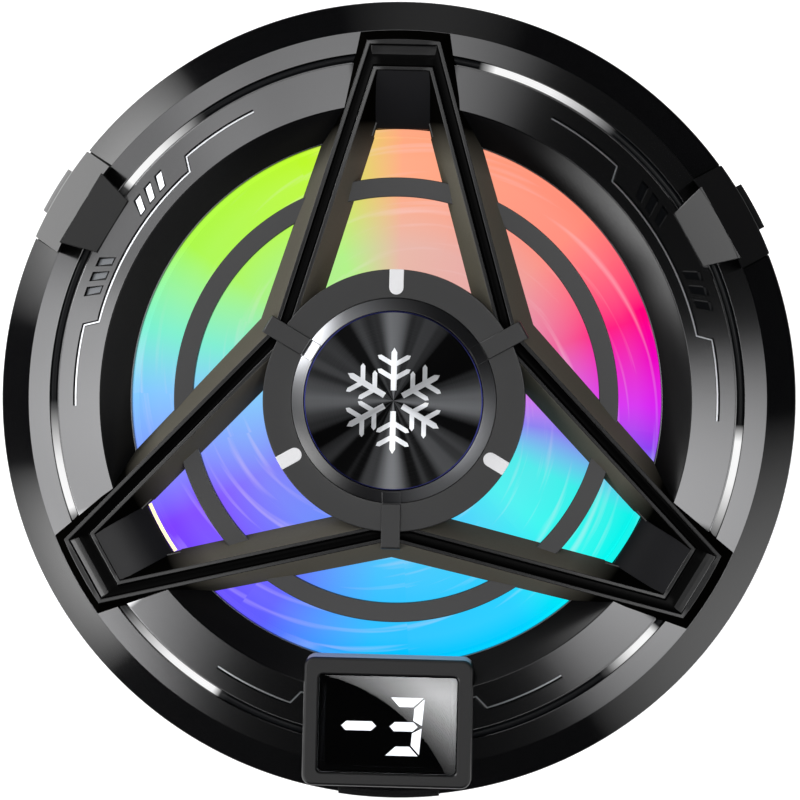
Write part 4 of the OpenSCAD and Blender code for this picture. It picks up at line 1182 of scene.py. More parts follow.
    def window(self) -> Shape:
        """Room for the display.

        Returns:
            The room, as a cutter.
        """
        low, high = node_low("display_housing"), node_high("display_housing")
        left, right = low.x + self.window_side, high.x - self.window_side
        front, back = low.y + self.window_side, high.y - self.window_back
        outline = [(left, front), (right, front), (right, back), (left, back)]
        return prism(outline, self.deck_z + self.cut_floor, self.deco_z + self.cut_top)

    def line_path(self) -> list[Point2]:
        """The engraved line of one zone about 0 degrees.

        Returns:
            Its points, as (radius, degrees).
        """
        inner = self.deco_r + self.line_gap
        outer = inner + self.line_step
        turn, resume, stop = self.line_turns
        right = [(inner, a) for a in spaced(0, turn, 12)] + [(outer, a) for a in spaced(resume, stop, 10)]
        left = [(r, -a) for r, a in right[1:]]
        return left[::-1] + right

    def strip(self, path: Sequence[Point2], half: float, deep: float, shallow: float) -> Shape:
        """A strip along a path on the cone, between two depths.

        Args:
            path: Middle of the strip, as (radius, degrees).
            half: Half of the strip's width at its bottom.
            deep: Depth of its bottom under the cone.
            shallow: Depth of its top under the cone.

        Returns:
            The strip.
        """
        middle = [Vector(polar(r, a)) for r, a in path]
        loops = []
        for i, point in enumerate(middle):
            before = middle[max(i - 1, 0)]
            after = middle[min(i + 1, len(middle) - 1)]
            along = (after - before).normalized()
            side = Vector((-along.y, along.x))
            loop = []
            for shift, depth in ((-half, deep), (half, deep), (half, shallow), (-half, shallow)):
                grown = shift * (1 + self.flare * (deep - depth))
                spot = point + side * grown
                loop.append((spot.x, spot.y, self.cone_z(spot.length) - depth))
            loops.append(loop)
        return loft(loops)

    def slot(self, side: int, place: float, shrink: float, deep: float, shallow: float) -> Shape:
        """One leaning slot about 0 degrees.

        Args:
            side: 1 or -1, the side of the lug.
            place: Angle of its middle in degrees.
            shrink: Distance that it is inside the outline.
            deep: Depth of its bottom under the cone.
            shallow: Depth of its top under the cone.

        Returns:
            The slot's body.
        """
        inner = self.deco_r + self.line_gap + self.slot_gap + shrink
        outer = inner + self.slot_len - 2 * shrink
        half = self.slot_half - 2 * shrink
        start, stop = place - self.slot_lean, place + self.slot_lean
        corners = [(inner, side * (start - half)), (inner, side * (start + half)),
                   (outer, side * (stop + half)), (outer, side * (stop - half))]
        return loft([[(*polar(r, a), self.cone_z(r) - d) for r, a in corners] for d in (deep, shallow)])


@dataclass
class StarGrille:
    """The three-armed star, its guard ring and the sloped panels in its tips."""

    ring: FrontRing
    hub_z: float = node_high("hub_ring").z
    lip_w: float = 0.35
    bar_groove: float = 0.88
    tip_groove: float = 1.9
    groove_d: float = 0.5
    tip_bow: float = 0.15
    tip_points: int = 7
    scoop: tuple[Point3, ...] = ((0.1, 0.06, 0.38), (0.25, 0.45, 0.28), (0.44, 0.85, 0.2), (0.6, 1.25, 0.15),
                                 (0.78, 1.8, 0.13))
    guard_r: float = 18.6
    guard_w: float = 1.68
    guard_t: float = 1.05
    guard_z: float = 19.41
    insert_half: float = 2.4
    insert_in: float = 0.5
    insert_top: tuple[Point2, ...] = ((0.0, 0.0), (1.6, 0.42), (3.2, 1.0), (4.4, 1.6))
    insert_drop: float = 2.2
    core_inset: float = 2.2
    core_deep: float = 1.0
    hub_r: float = node_high("hub_ring").x
    hub_low: float = node_low("hub_ring").z

    def loop(self, inset: float, tip_inset: float, drop: float, bow: float = 0.0, side: float = 0.0,
             lift: float = 0.0) -> list[Point3]:
        """The star's outline at a distance inside its outer lip.

        Args:
            inset: Distance inside the lip along the bars.
            tip_inset: Distance inside the lip at the tips.
            drop: Distance below the lips.
            bow: Height of the arc at the tips.
            side: Distance that the tips' corners are drawn in.
            lift: Distance that the tips lie higher.

        Returns:
            Per arm an inner corner and the points across its tip.
        """
        inner = polar((STAR_LINE - inset) / math.cos(math.radians(30 - STAR_ANGLE)), 30)
        tip = TIP_Y - tip_inset
        half = arm_half(tip, -inset - side)
        points: list[Point3] = []
        for turn in TURNS:
            points.append((*turned(inner, turn), self.hub_z - drop))
            for x in spaced(half, -half, self.tip_points):
                y = tip + bow * (1 - (x / half) ** 2)
                points.append((*turned((x, y), turn), TIP_Z - drop + lift))
        return points

    def build(self) -> None:
        """Builds the grille's pieces."""
        self.build_frame()
        half = self.guard_w / 2
        guard = rounded([(self.guard_r + x * half, self.guard_z + z * self.guard_t, 0.09)
                         for x, z in ((-1, 0), (1, 0), (1, 1), (-1, 1))])
        make_piece("guard_ring", lathe(guard), GUARD_GREY)
        inside, foot, neck = self.hub_r - self.core_inset, self.hub_low - self.core_deep, self.hub_z - BAR_H
        core = rounded((
            (0, foot, 0), (inside, foot, 0), (inside, neck, 0), (self.hub_r, neck, 0.2),
            (self.hub_r, self.hub_low, 0), (0, self.hub_low, 0)))
        make_piece("hub_core", lathe(core), STAR_BLACK)
        self.build_inserts()

    def build_frame(self) -> None:
        """The star, with grooves along its bars and scoops at its tips."""
        lip, bars, tips = self.lip_w, self.lip_w + self.bar_groove, self.lip_w + self.tip_groove
        frame_loops = [
            self.loop(-BAR_DRAFT, TIP_Y - FOOT_Y, BAR_H, FOOT_BOW, FOOT_SIDE, FOOT_LIFT),
            self.loop(0, 0, 0, self.tip_bow), self.loop(lip, lip, 0)]
        for bar_place, tip_place, lift in self.scoop:
            frame_loops.append(self.loop(lip + bar_place, lip + tip_place, self.groove_d, lift=lift))
        frame_loops += [
            self.loop(bars, tips, 0), self.loop(bars + lip, tips + lip, 0),
            self.loop(bars + lip + BAR_DRAFT, tips + lip + 0.3, BAR_H)]
        star = make_piece("star_frame", loft(frame_loops, tube=True), STAR_BLACK, ("star_grille",), edge=0.07,
                          crease=20)
        size = len(frame_loops[0])
        floor = len(self.scoop)
        # Painted shade: the groove rows take the near non-reflective black; the walls take the painted fan
        # glow
        for finish, rows in ((RECESS_SHADE_BLACK, range(2, floor + 3)), (STAR_WALL_PAINTED_GLOW, (0, floor + 4))):
            paint_rows(star, finish, rows, size)
        # Painted highlight: across the tips, rows 3 and 4 take the more reflective star and wedge blacks, so
        # the scoop is lighter by its outer lip and fades to black
        star.data.materials.append(WEDGE_BLACK.material())
        for row, index in ((3, 0), (4, 3)):
            for face in star.data.polygons[row * size:(row + 1) * size]:
                if 0 < face.index % (self.tip_points + 1) < self.tip_points:
                    face.material_index = index

    def build_inserts(self) -> None:
        """The sloped panels inside the tips, with bowed tops."""
        inner = self.ring.deco_r - self.ring.funnel_w + self.insert_in
        low = self.ring.deck_z + 0.8
        out = TIP_Y - 2 * self.lip_w - self.tip_groove + 0.1
        top = TIP_Z - 0.1
        bow = [(out - back, top - drop) for back, drop in self.insert_top]
        profile = [(inner, low), (out, low), *bow, (inner, top - self.insert_drop)]
        shape = Shape()
        for arm in ARMS:
            shape.add(slab(profile, 2 * self.insert_half, arm))
        make_piece("tip_panels", shape, INSERT_GREY, ("arm_inserts",), edge=0.05)


@dataclass
class Hub:
    """The flat hub ring, its ticks and tabs, and the spun cap."""

    low: float = node_low("hub_ring").z
    top: float = node_high("hub_ring").z
    ring_r: float = node_high("hub_ring").x
    cap_r: float = node_high("hub_cap").x
    cap_z: float = node_high("hub_cap").z
    bevel_w: float = 1.1
    tick_w: float = 1.24
    tick_len: float = 2.2
    tab_w: float = 1.65
    tab_z: float = node_high("hub_tabs").z
    tab_reach: float = 1.5
    mark_r: float = 4.6
    mark_w: float = 0.5
    mark_h: float = 0.03
    mark_hole: float = 0.9
    mark_tip: float = 0.4
    branches: Point2 = (1.9, 3.1)
    branch_len: float = 1.65
    branch_tip: float = 0.25
    branch_share: float = 0.8

    def build(self) -> None:
        """Builds the hub's pieces."""
        bevel_r = self.cap_r + self.bevel_w
        ring = rounded((
            (bevel_r + FIT, self.low, 0), (self.ring_r, self.low, 0.05), (self.ring_r, self.top, 0.1),
            (bevel_r + FIT, self.top, 0.05)))
        make_piece("hub_plate", lathe(ring), HUB_GREY, ("hub_ring",))
        bevel = rounded((
            (self.cap_r + FIT, self.low, 0), (bevel_r, self.low, 0), (bevel_r, self.top, 0),
            (self.cap_r + FIT, self.cap_z - 0.05, 0.06)))
        make_piece("cap_bevel", lathe(bevel), BEVEL_BLACK, ("cap_bezel",))
        side, top = self.cap_r - 0.02, self.cap_z
        cap = ((0, self.low), (side, self.low), (side, top - 0.1), (side - 0.1, top), (0, top))
        make_piece("spun_cap", lathe(cap), CAP_METAL, ("hub_cap",))
        # Partly painted highlight: a thin blue-violet bead along the cap's rim
        rim = bead((self.cap_r - 0.07, self.cap_z - 0.04), 0.05, 0.06)
        make_piece("cap_edge", lathe(rim), CAP_EDGE)
        self.build_ticks()
        self.build_tabs(bevel_r)
        self.build_mark()

    def build_ticks(self) -> None:
        """The three white ticks, rounded at their inner ends."""
        half = self.tick_w / 2
        start = self.ring_r - self.tick_len + half
        outline = [(start + x, y) for x, y in (polar(half, a) for a in spaced(90, 270, 13))]
        outline += [(math.sqrt(self.ring_r ** 2 - y * y), y) for y in spaced(-half, half, 7)]
        shape = Shape()
        for arm in ARMS:
            shape.add(prism(outline, self.low, self.top + 0.03).at(arm))
        make_piece("white_ticks", shape, TICK_WHITE, ("hub_ticks",), edge=0.03)

    def build_tabs(self, bevel_r: float) -> None:
        """The three tabs over the hub ring, with their feet on the cap's bevel.

        Args:
            bevel_r: Outer radius of the bevel.
        """
        out = self.ring_r + self.tab_reach
        tabs, feet = Shape(), Shape()
        inner, hook = bevel_r + 0.1, out - 0.6
        profile = (
            (inner, self.top - 0.1), (hook, self.top - 0.1), (hook, self.top - 1.2), (out, self.top - 1.2),
            (out, self.tab_z - 0.15), (out - 0.15, self.tab_z), (inner, self.tab_z))
        toe, heel, low, high = self.cap_r + 0.12, bevel_r + 0.2, self.low + 0.2, self.top + 0.05
        foot = ((toe, low), (heel, low), (heel, high), (bevel_r + 0.02, high), (toe, self.cap_z - 0.04))
        for zone in ZONES:
            tabs.add(slab(profile, self.tab_w, zone))
            feet.add(slab(foot, self.tab_w, zone))
        make_piece("hub_tab_bars", tabs, HUB_GREY, ("hub_tabs",), edge=0.06)
        make_piece("hub_tab_feet", feet, BEVEL_BLACK, edge=0.05)

    def build_mark(self) -> None:
        """A plain six-armed frost mark on the cap."""
        low, high = self.cap_z - 0.1, self.cap_z + self.mark_h
        arm = self.mark_bar(self.mark_hole, self.mark_r, self.mark_tip, self.mark_w / 2)
        branch = self.mark_bar(0.1, self.branch_len, self.branch_tip, self.branch_share * self.mark_w / 2)
        shape = Shape()
        for turn in range(30, 390, 60):
            shape.add(prism(arm, low, high).at(turn))
            for place in self.branches:
                for lean in (-60, 60):
                    outline = [(place + x, y) for x, y in (turned(p, lean) for p in branch)]
                    shape.add(prism(outline, low, high - 0.004).at(turn))
        make_piece("frost_mark", shape, FROST_MARK)

    @staticmethod
    def mark_bar(start: float, stop: float, tip: float, half: float) -> list[Point2]:
        """Outline of a pointed bar along +X."""
        return [(start, -half), (stop - tip, -half), (stop, 0), (stop - tip, half), (start, half)]


@dataclass
class Display:
    """The display's housing and its smoked lens."""

    ring: FrontRing
    low: Vector = field(default_factory=lambda: node_low("display_housing"))
    high: Vector = field(default_factory=lambda: node_high("display_housing"))
    lens_low: Vector = field(default_factory=lambda: node_low("display_lens"))
    lens_high: Vector = field(default_factory=lambda: node_high("display_lens"))
    corner: float = 0.9
    lens_corner: float = 0.4
    chamfer: float = 0.25
    lean: float = 0.22
    reach: float = 0.27
    lens_gap: float = 0.05
    frame_in: float = 0.15

    def outline(self, inset: float, corner: float, width: float, length: float, z: float, lean: float = 0.0
                ) -> list[Point3]:
        """A rounded box at a height.

        Args:
            inset: Distance inside the box of the given size.
            corner: Corner radius before the inset.
            width: Size along X.
            length: Size along Y.
            z: Height.
            lean: Distance that its inner side is set back.

        Returns:
            The outline's points.
        """
        middle = (self.low.y + self.high.y) / 2
        box = rounded_box(width - 2 * inset, length - 2 * inset, max(corner - inset, 0.1))
        return [(x, y + middle - (lean if y > 0 else 0), z) for x, y in box]

    def build(self) -> None:
        """Builds the housing and the lens."""
        width, length = self.high.x - self.low.x, self.high.y - self.low.y
        lens_w, lens_l = self.lens_high.x - self.lens_low.x, self.lens_high.y - self.lens_low.y
        low, top, ledge = self.ring.duct_z, self.high.z, self.lens_low.z - 0.03
        hole = (lens_w + 2 * self.lens_gap, lens_l + 2 * self.lens_gap)
        loops = [self.outline(0, self.corner, width, length, low, -self.reach)]
        for inset, drop in ((0, 1), (0.35, 0.35), (1, 0)):
            inset, z = inset * self.chamfer, top - drop * self.chamfer
            loops.append(self.outline(inset, self.corner, width, length, z, self.lean - self.reach))
        inside = self.frame_in
        for inset, z in ((-0.12, top), (0, top - 0.1), (0, ledge), (inside, ledge), (inside, low)):
            loops.append(self.outline(inset, self.lens_corner, *hole, z, self.reach))
        shell = loft(loops, tube=True)
        housing = make_piece("display_shell", shell, SHELL_BLACK, ("display_housing",), crease=22)
        paint_rows(housing, MODULE_BLACK, (5, 6, 7), len(loops[0]))
        # Painted light: the shell's face toward the fan takes a pale copy of its finish, standing in for the
        # fan's glow
        housing.data.materials.append(SHELL_PAINTED_GLOW.material())
        for face in housing.data.polygons[:len(loops[0])]:
            if face.normal.y > 0.7:
                face.material_index = 2
        lens_loops = [
            self.outline(inset, self.lens_corner, lens_w, lens_l, z, self.reach) for inset, z in (
                (0, self.lens_low.z), (0, self.lens_high.z - 0.06), (0.06, self.lens_high.z))]
        make_piece("display_glass", loft(lens_loops), LENS_GLASS, ("display_lens",), crease=20)


@dataclass
class SideKeys:
    """The two lugs at the rim and the keys in them."""

    ring: FrontRing
    stand: float = 0.1
    ridge_in: float = 2.7
    ridge_z: float = 21.0
    reach: float = 5.87
    wedge_out: float = 3.55
    wedge_in: float = 2.65
    key_w: float = 4.3
    key_h: float = 1.8
    key_gap: float = 0.12
    key_stand: float = 0.55
    flange_w: float = 5.5
    stem_w: float = 2.0

    def build(self) -> None:
        """Builds the lugs and the keys."""
        for zone, name in ((LEFT, "left"), (RIGHT, "right")):
            self.build_lug(zone, name)
            self.build_key(zone, name)

    @staticmethod
    def side_loop(x: float, half: float, low: float, high: float) -> list[Point3]:
        """An upright box outline across +X."""
        return [(x, -half, low), (x, half, low), (x, half, high), (x, -half, high)]

    def build_lug(self, zone: float, name: str) -> None:
        """One lug: a block at the rim and a wedge down to the deco ring.

        Args:
            zone: Its angle.
            name: "left" or "right".
        """
        ring = self.ring
        out = ring.rim_r + self.stand
        ridge = ring.rim_r - self.ridge_in
        in_r = ring.rim_r - ring.shell_t
        profile = rounded((
            (in_r, ring.wall_low, 0), (out, ring.wall_low, 0.1), (out, ring.rim_z + 0.3, 0.2),
            (ridge, self.ridge_z, 0), (ridge, ring.bezel_z - 0.5, 0), (in_r, ring.bezel_z - 0.5, 0)), 3)
        middle = node_low(name + "_button").z + self.key_h / 2
        high = self.key_h / 2 + self.key_gap
        wide = self.key_w / 2 + self.key_gap
        slot = loft([self.side_loop(x, wide, middle - high, middle + high) for x in (in_r - 1, out + 1)])
        # Painted light and shade: the left lug takes gloss black and the wedge black, the right one a shaded
        # block and a brighter wedge
        block, tail = (GLOSS_BLACK, WEDGE_BLACK) if zone == LEFT else (SHADE_BLACK, TAIL_BLACK)
        lug = make_piece(name + "_lug_block", band(profile, 0, ring.lug_half, 16).at(zone), block,
                         (name + "_lug",), edge=0.06, crease=28, cutter=slot.at(zone))
        lug.data.materials.append(RECESS_SHADE_BLACK.material())
        # Painted shade: the lug's inward-facing walls take the near non-reflective black
        inward = Vector((*polar(-1, zone), 0))
        for face in lug.data.polygons:
            face.material_index = int(face.normal.dot(inward) > 0.9)
        inner = ring.rim_r - self.reach
        low = ring.bezel_z - 0.3
        wedge = loft([
            self.side_loop(ridge + 0.02, self.wedge_out, low, self.ridge_z - 0.02),
            self.side_loop(inner, self.wedge_in, low, ring.cone_z(inner) + 0.08)])
        make_piece(name + "_lug_wedge", wedge.at(zone), tail, edge=0.05)
        self.build_seams(zone, name)

    def build_seams(self, zone: float, name: str) -> None:
        """The dark seams between one lug and the bezel.

        Args:
            zone: The lug's angle.
            name: "left" or "right".
        """
        ring = self.ring
        in_r, out_r, low = ring.rim_r - ring.shell_t, ring.rim_r - 0.2, ring.wall_low + 0.2
        profile = ((in_r, low), (out_r, low), (out_r, ring.rim_z - 0.1), (ring.bezel_r, ring.bezel_z - 0.25),
                   (in_r, ring.rim_z - 0.4))
        ends = (ring.lug_half - 0.02, ring.lug_half + ring.seam + 0.02)
        seams = Shape()
        for side in (1, -1):
            seams.add(loft([[(math.sqrt(r * r - y * y), side * y, z) for r, z in profile] for y in ends]))
        make_piece(name + "_lug_seams", seams.at(zone), RECESS_SHADE_BLACK)

    def build_key(self, zone: float, name: str) -> None:
        """One key: a nub through the lug, with its flange and stem.

        Args:
            zone: Its angle.
            name: "left" or "right".
        """
        node = name + "_button"
        ring = self.ring
        low, high = node_low(node).z, node_high(node).z
        in_r = ring.rim_r - ring.shell_t
        nose = ring.rim_r + self.stand + self.key_stand
        profile = rounded(((in_r - 0.5, low, 0), (nose, low, 0.1), (nose, low + 0.8, 0.06),
                           (ring.rim_r + self.stand, high, 0.04), (in_r - 0.5, high, 0)), 3)
        shape = band(profile, 0, self.key_w / 2, 10)
        for back, front, inset, width in ((0.8, 0.3, 0.0, self.flange_w), (1.9, 0.6, 0.2, self.stem_w)):
            start, stop, foot, top = in_r - back, in_r - front, low + inset, high - inset
            shape.add(slab(((start, foot), (stop, foot), (stop, top), (start, top)), width, 0))
        # Painted shade: the right key takes the shaded copy of gloss black
        finish = GLOSS_BLACK if zone == LEFT else SHADE_BLACK
        make_piece(name + "_key", shape.at(zone), finish, (node,), name + "_key", edge=0.05)


@dataclass
class Fan:
    """The impeller with its swept blades."""

    blades: int = 9
    sweep_angle: float = 46.0
    blade_low: float = node_low("impeller").z
    blade_high: float = 18.71
    blade_r: float = node_high("impeller").x
    hub_r: float = 9.8
    hub_low: float = 14.85
    hub_high: float = node_high("impeller").z
    wall: float = 0.95
    blade_t: float = 0.55
    duct_r: float = 23.2
    duct_z: float = 18.9
    bore: float = 0.77
    roof: float = 0.9
    sleeve_in: float = 0.8
    sleeve_t: float = 0.18
    pad_low: float = 17.3
    pad_out: float = 0.48
    pad_half: float = 2.5
    glint_half: float = 2.36

    def build(self) -> None:
        """Builds the impeller and the lit sleeve around it."""
        inner, ceiling = self.hub_r - self.wall, self.hub_high - self.roof
        cup = rounded((
            (inner, self.hub_low, 0.1), (self.hub_r, self.hub_low, 0.1), (self.hub_r, self.hub_high, 0.5),
            (self.bore, self.hub_high, 0), (self.bore, ceiling, 0), (inner, ceiling, 0.2)))
        shape = lathe(cup, 144)
        for i in range(self.blades):
            shape.add(self.blade().at(360 / self.blades * i))
        make_piece("lit_impeller", shape, LIT_BLADE, ("impeller",), "rotor")
        self.build_sleeve()

    def build_sleeve(self) -> None:
        """The lit sleeve around the blades, and the strip of light past the left panel."""
        inner, outer = self.duct_r - 0.15, self.duct_r - 0.03
        step, foot, top = self.blade_r - self.sleeve_in, self.blade_low - 0.5, self.duct_z
        floor = foot + self.sleeve_t
        sleeve = ((step, foot), (outer, foot), (outer, top), (inner, top), (inner, floor), (step, floor))
        # Painted light: the sleeve and the pads under the arms glow in the fan's colours, standing in for its
        # light on the duct around it
        shape = lathe(sleeve)
        edge = self.duct_r + self.pad_out
        for arm in ARMS:
            pad = ((inner, self.pad_low), (edge, self.pad_low), (edge, top), (inner, top))
            shape.add(band(pad, arm, self.pad_half))
        make_piece("light_sleeve", shape, LIT_BLADE)
        # Painted highlight: a glowing cream strip at the left arm only, standing in for a glint by the fan's
        # light
        corners = ((0.16, -0.3), (0.46, -0.3), (0.46, 0.08), (0.16, 0.08))
        glint = [(self.duct_r + r, top + z) for r, z in corners]
        make_piece("light_glint", band(glint, ARMS[1], self.glint_half), GLINT_CREAM)

    def blade(self) -> Shape:
        """One blade about 0 degrees, thickest along its middle.

        Returns:
            The blade, from inside the hub's wall to the tip.
        """
        loops = []
        steps = spaced(0, 1, 13)
        for radius in spaced(self.hub_r - 0.3, self.blade_r - 0.02, 9):
            upper, lower = [], []
            for t in steps:
                angle = -self.sweep_angle * t
                z = self.blade_low + 0.3 + (self.blade_high - self.blade_low - 0.6) * t
                half = self.blade_t / 2 * (1 - (2 * t - 1) ** 4) + 0.03
                upper.append((*polar(radius, angle), z + half))
                lower.append((*polar(radius, angle), z - half))
            loops.append(upper + lower[::-1])
        return loft(loops)


@dataclass
class Rear:
    """The rear side and the inner works, whose solids show as they are."""

    finishes: dict[str, Finish] = field(default_factory=lambda: {
        "rear_cover": MATTE_BLACK, "vent_ring": MATTE_BLACK, "fan_frame": MATTE_BLACK,
        "front_housing": MATTE_BLACK, "magnet_ring": MAGNET, "rotor_magnet": MAGNET,
        "cold_plate": PLATE_ALUMINIUM, "heatsink": SINK_ALUMINIUM, "cold_pad": THERMAL_PAD,
        "hot_pad": THERMAL_PAD, "peltier_cold_ceramic": CERAMIC, "peltier_hot_ceramic": CERAMIC,
        "peltier_pellets": PELLET, "foam_gasket": FOAM, "clamp_screws": STEEL, "case_screws": STEEL,
        "frame_screws": STEEL, "grille_screws": STEEL, "stator_core": STEEL, "shaft": STEEL,
        "rotor_yoke": STEEL, "side_switches": STEEL, "usb_shell": STEEL, "motor_board": BOARD_GREEN,
        "led_board": BOARD_GREEN, "control_board": BOARD_GREEN, "stator_coils": COPPER,
        "bearing_sleeve": BRONZE, "thrust_washer": WASHER_WHITE, "leds": LED_WHITE,
        "display_module": MODULE_BLACK, "display_segments": SEGMENT_WHITE, "usb_tongue": MATTE_BLACK})
    edges: dict[str, float] = field(default_factory=lambda: {
        "rear_cover": 0.1, "vent_ring": 0.12, "cold_plate": 0.12, "usb_shell": 0.06, "case_screws": 0.08,
        "heatsink": 0.05})
    ring_w: float = 5.0
    ring_foot: float = 0.02
    groove_z: float = 0.14
    groove_half: float = 1.3

    def build(self) -> None:
        """Dresses the solids and builds the soft ring."""
        for name, finish in self.finishes.items():
            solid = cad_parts[name]
            solid.data.materials.clear()
            solid.data.materials.append(finish.material())
            if name in self.edges:
                soften(solid, self.edges[name])
            LOG.info("%s: solid in %s", name, finish.slot)
        self.build_silicone()

    def build_silicone(self) -> None:
        """The soft ring that rests on the phone, with rounded edges and two ribs."""
        high = node_high("silicone_ring")
        out, top = high.x, high.z
        inner = out - self.ring_w
        middle = (inner + out) / 2
        wide, foot, groove = self.groove_half, self.ring_foot, self.groove_z
        narrow = wide - 0.2
        profile = rounded((
            (inner, top, 0), (inner, foot, 0.35), (middle - wide, foot, 0.12),
            (middle - narrow, groove, 0.12), (middle + narrow, groove, 0.12), (middle + wide, foot, 0.12),
            (out, foot, 0.35), (out, top, 0)))
        make_piece("soft_ring", lathe(profile), SILICONE, ("silicone_ring",))


def area_lamp(name: str, width: float, height: float, level: float) -> tuple[bpy.types.Object, Sheet]:
    """Adds a rectangular lamp that the camera does not see.

    Args:
        name: The lamp's name.
        width: Its width in metres.
        height: Its height in metres.
        level: Brightness of its face, where 1 is white.

    Returns:
        The lamp and the nodes of its light.
    """
    lamp = bpy.data.lights.new(name, "AREA")
    lamp.shape = "RECTANGLE"
    lamp.size, lamp.size_y = width, height
    lamp.energy = level * math.pi * width * height
    lamp.use_nodes = True
    holder = bpy.data.objects.new(name, lamp)
    holder.visible_camera = False
    bpy.context.scene.collection.objects.link(holder)
    return holder, Sheet(lamp.node_tree)


@dataclass(frozen=True)
class Softbox:
    """One soft lamp, placed by its direction from the object.

    Attributes:
        name: The lamp's name.
        azimuth: Direction in degrees from +X, seen from above.
        elevation: Angle above the floor in degrees.
        across: Angular width in degrees.
        tall: Angular height in degrees.
        level: Brightness of its face, where 1 is white.
    """

    name: str
    azimuth: float
    elevation: float
    across: float
    tall: float
    level: float

    def place(self, target: Vector, distance: float) -> None:
        """Adds the lamp to the scene.

        Args:
            target: Where it points.
            distance: Distance from there.
        """
        width, height = (2 * distance * math.tan(math.radians(a / 2)) for a in (self.across, self.tall))
        holder, sheet = area_lamp(self.name, width, height, self.level)
        fall: object = 1.0
        for across in sheet.x_and_y(sheet.add("NewGeometry").outputs["Parametric"]):
            hump = sheet.math("MULTIPLY", across, sheet.math("SUBTRACT", 1.0, across))
            fall = sheet.math("MULTIPLY", sheet.math("MULTIPLY", hump, 4.0), fall)
        sheet.link(fall, sheet.tree.nodes["Emission"].inputs["Strength"])
        x, y = polar(math.cos(math.radians(self.elevation)), self.azimuth)
        direction = Vector((x, y, math.sin(math.radians(self.elevation))))
        holder.location = target + direction * distance
        holder.rotation_euler = direction.to_track_quat("Z", "Y").to_euler()


@dataclass(frozen=True)
class Glare:
    """A small lamp, dark inside a round edge, that shows as glare on the display's glass.

    Attributes:
        low: Its lowest corner in millimetres.
        high: Its highest corner in millimetres.
        height: Its height in millimetres.
        middle: Middle of the round edge.
        radius: Radius of the round edge.
        run: Distance from the edge to its brightest place.
        levels: Brightness at the edge and at its brightest place.
        fade: Places along Y where it is almost gone and where it is whole.
        soft: Widths over which its upper borders fade out.
    """

    low: Point2 = (-25.0, -52.0)
    high: Point2 = (2.0, -34.0)
    height: float = 221.7
    middle: Point2 = (-21.29, -58.86)
    radius: float = 21.89
    run: float = 4.6
    levels: Point2 = (3.0, 15.5)
    fade: Point2 = (-49.5, -35.5)
    soft: Point2 = (3.0, 5.5)

    def place(self) -> None:
        """Adds the lamp to the scene."""
        width, height = ((b - a) * MM for a, b in zip(self.low, self.high))
        holder, sheet = area_lamp("display_glare", width, height, 1.0)
        places = sheet.x_and_y(sheet.add("NewGeometry").outputs["Position"])
        far = sheet.far(*(sheet.math("SUBTRACT", place, m * MM) for place, m in zip(places, self.middle)))
        edge = self.radius * MM
        level = sheet.remap(far, (edge, edge + self.run * MM), self.levels)
        lit = sheet.math("MULTIPLY", level, sheet.math("GREATER_THAN", far, edge))
        lit = sheet.math("MULTIPLY", lit, sheet.remap(places[1], metres(self.fade), (0.1, 1.0)))
        for place, top, soft in zip(places, self.high, self.soft):
            border = sheet.remap(place, metres((top - soft, top)), (1.0, 0.0))
            lit = sheet.math("MULTIPLY", lit, border)
        sheet.link(lit, sheet.tree.nodes["Emission"].inputs["Strength"])
        x, y = ((a + b) / 2 * MM for a, b in zip(self.low, self.high))
        holder.location = (x, y, self.height * MM)


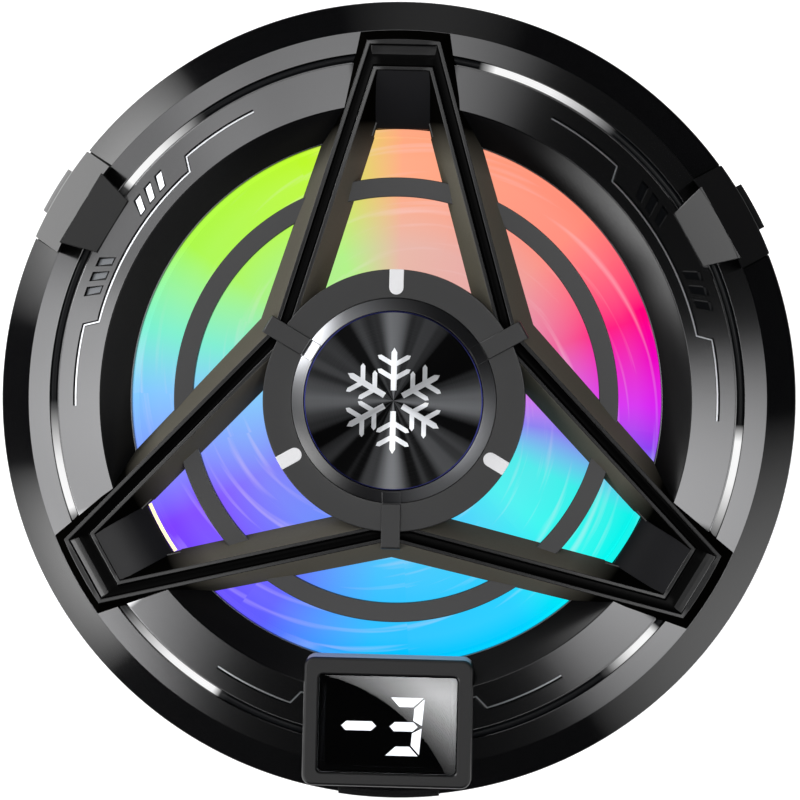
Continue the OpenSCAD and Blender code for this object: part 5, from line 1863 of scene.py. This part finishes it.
@dataclass
class Studio:
    """Floor, lamps, world and camera."""

    target: Vector = field(default_factory=lambda: Vector((0, 0, 16.2 * MM)))
    distance: float = 0.5
    lamp_distance: float = 0.7
    floor_half: float = 3.0
    floor_z: float = -0.0002
    floor_glow: float = 0.6
    air_level: float = 0.02
    side_tilt: float = 2.5
    up_tilt: float = 1.0
    roll: float = 1.35
    lens: float = 255.3
    shift: Point2 = (0.0027, -0.0011)
    boxes: tuple[Softbox, ...] = (
        Softbox("rim_upper_left", 149, 13, 45, 20, 13.0),
        Softbox("rim_lower_left", 208, 10, 33, 15, 12.0),
        Softbox("rim_lower_right", 329, 5, 58, 12, 2.0),
        Softbox("rim_top", 88, 8, 28, 16, 0.3),
        Softbox("cone_left", 186, 38, 46, 34, 2.9),
        Softbox("cone_upper_left", 146, 38, 48, 30, 1.0),
        Softbox("cone_right", 334, 41, 60, 32, 2.7),
        Softbox("cone_top", 103, 38, 56, 30, 1.35),
        Softbox("funnel_right", 217, 20, 40, 20, 7.0),
        Softbox("arm_top", 90, 71, 30, 22, 4.0),
        Softbox("arm_left", 210, 71, 30, 22, 4.0),
        Softbox("arm_right", 330, 71, 30, 22, 3.0),
        Softbox("tip_left", 30, 66, 26, 18, 11.0),
        Softbox("tip_right", 150, 66, 26, 18, 0.9),
    )

    def build(self) -> None:
        """Sets up the floor, the lamps, the world and the camera."""
        scene = bpy.context.scene
        scene.view_settings.view_transform = "Standard"
        self.build_floor()
        for box in self.boxes:
            box.place(self.target, self.lamp_distance)
        Glare().place()
        world = bpy.data.worlds.new("studio_air")
        world.use_nodes = True
        air = world.node_tree.nodes["Background"]
        air.inputs["Color"].default_value = (0.9, 0.92, 0.95, 1)
        air.inputs["Strength"].default_value = self.air_level
        scene.world = world
        self.build_camera()

    def build_floor(self) -> None:
        """A pale floor that shows as white and keeps the object's shadow."""
        mesh = bpy.data.meshes.new("floor")
        half = self.floor_half
        corners = [(x * half, y * half, 0) for x, y in ((-1, -1), (1, -1), (1, 1), (-1, 1))]
        mesh.from_pydata(corners, [], [(0, 1, 2, 3)])
        floor = bpy.data.objects.new("floor", mesh)
        floor.location.z = self.floor_z
        bpy.context.scene.collection.objects.link(floor)
        material = bpy.data.materials.new("pale_floor")
        material.use_nodes = True
        sheet = Sheet(material.node_tree)
        shader = material.node_tree.nodes["Principled BSDF"]
        tone = sheet.noise(sheet.add("TexCoord").outputs["Object"], 6.0)
        pale = sheet.ramp(tone, ((0.3, (0.93, 0.93, 0.93)), (0.7, (0.95, 0.95, 0.95))))
        sheet.link(pale, shader.inputs["Base Color"])
        shader.inputs["Roughness"].default_value = 0.9
        shader.inputs["Specular IOR Level"].default_value = 0.0
        shader.inputs["Emission Color"].default_value = (1, 1, 1, 1)
        path = sheet.add("LightPath")
        seen = sheet.math("ADD", path.outputs["Is Camera Ray"], path.outputs["Is Glossy Ray"])
        seen = sheet.math("ADD", seen, path.outputs["Is Transmission Ray"])
        sheet.link(sheet.math("MULTIPLY", seen, self.floor_glow), shader.inputs["Emission Strength"])
        mesh.materials.append(material)

    def build_camera(self) -> None:
        """The camera at the photograph's viewing angle."""
        data = bpy.data.cameras.new("camera")
        data.sensor_width = 36.0
        data.lens = self.lens
        data.shift_x, data.shift_y = self.shift
        data.clip_start = 0.01
        data.clip_end = 20.0
        camera = bpy.data.objects.new("camera", data)
        offset = Vector((math.tan(math.radians(self.side_tilt)), math.tan(math.radians(self.up_tilt)), 1.0))
        back = offset.normalized()
        camera.location = self.target + back * self.distance
        turn = math.radians(self.roll)
        up = Vector((-math.sin(turn), math.cos(turn), 0))
        right = up.cross(back).normalized()
        up = back.cross(right)
        basis = Matrix((right, up, back)).transposed()
        camera.rotation_euler = basis.to_euler()
        bpy.context.scene.collection.objects.link(camera)
        bpy.context.scene.camera = camera


def main() -> None:
    """Builds the cooler's looks and the studio around it."""
    logging.basicConfig(level=logging.INFO, format="%(message)s")
    ring = FrontRing()
    for part in (Rear(), Fan(), ring, StarGrille(ring), Hub(), Display(ring), SideKeys(ring), Studio()):
        LOG.info("building %s", type(part).__name__)
        part.build()


if __name__ == "__main__":
    main()
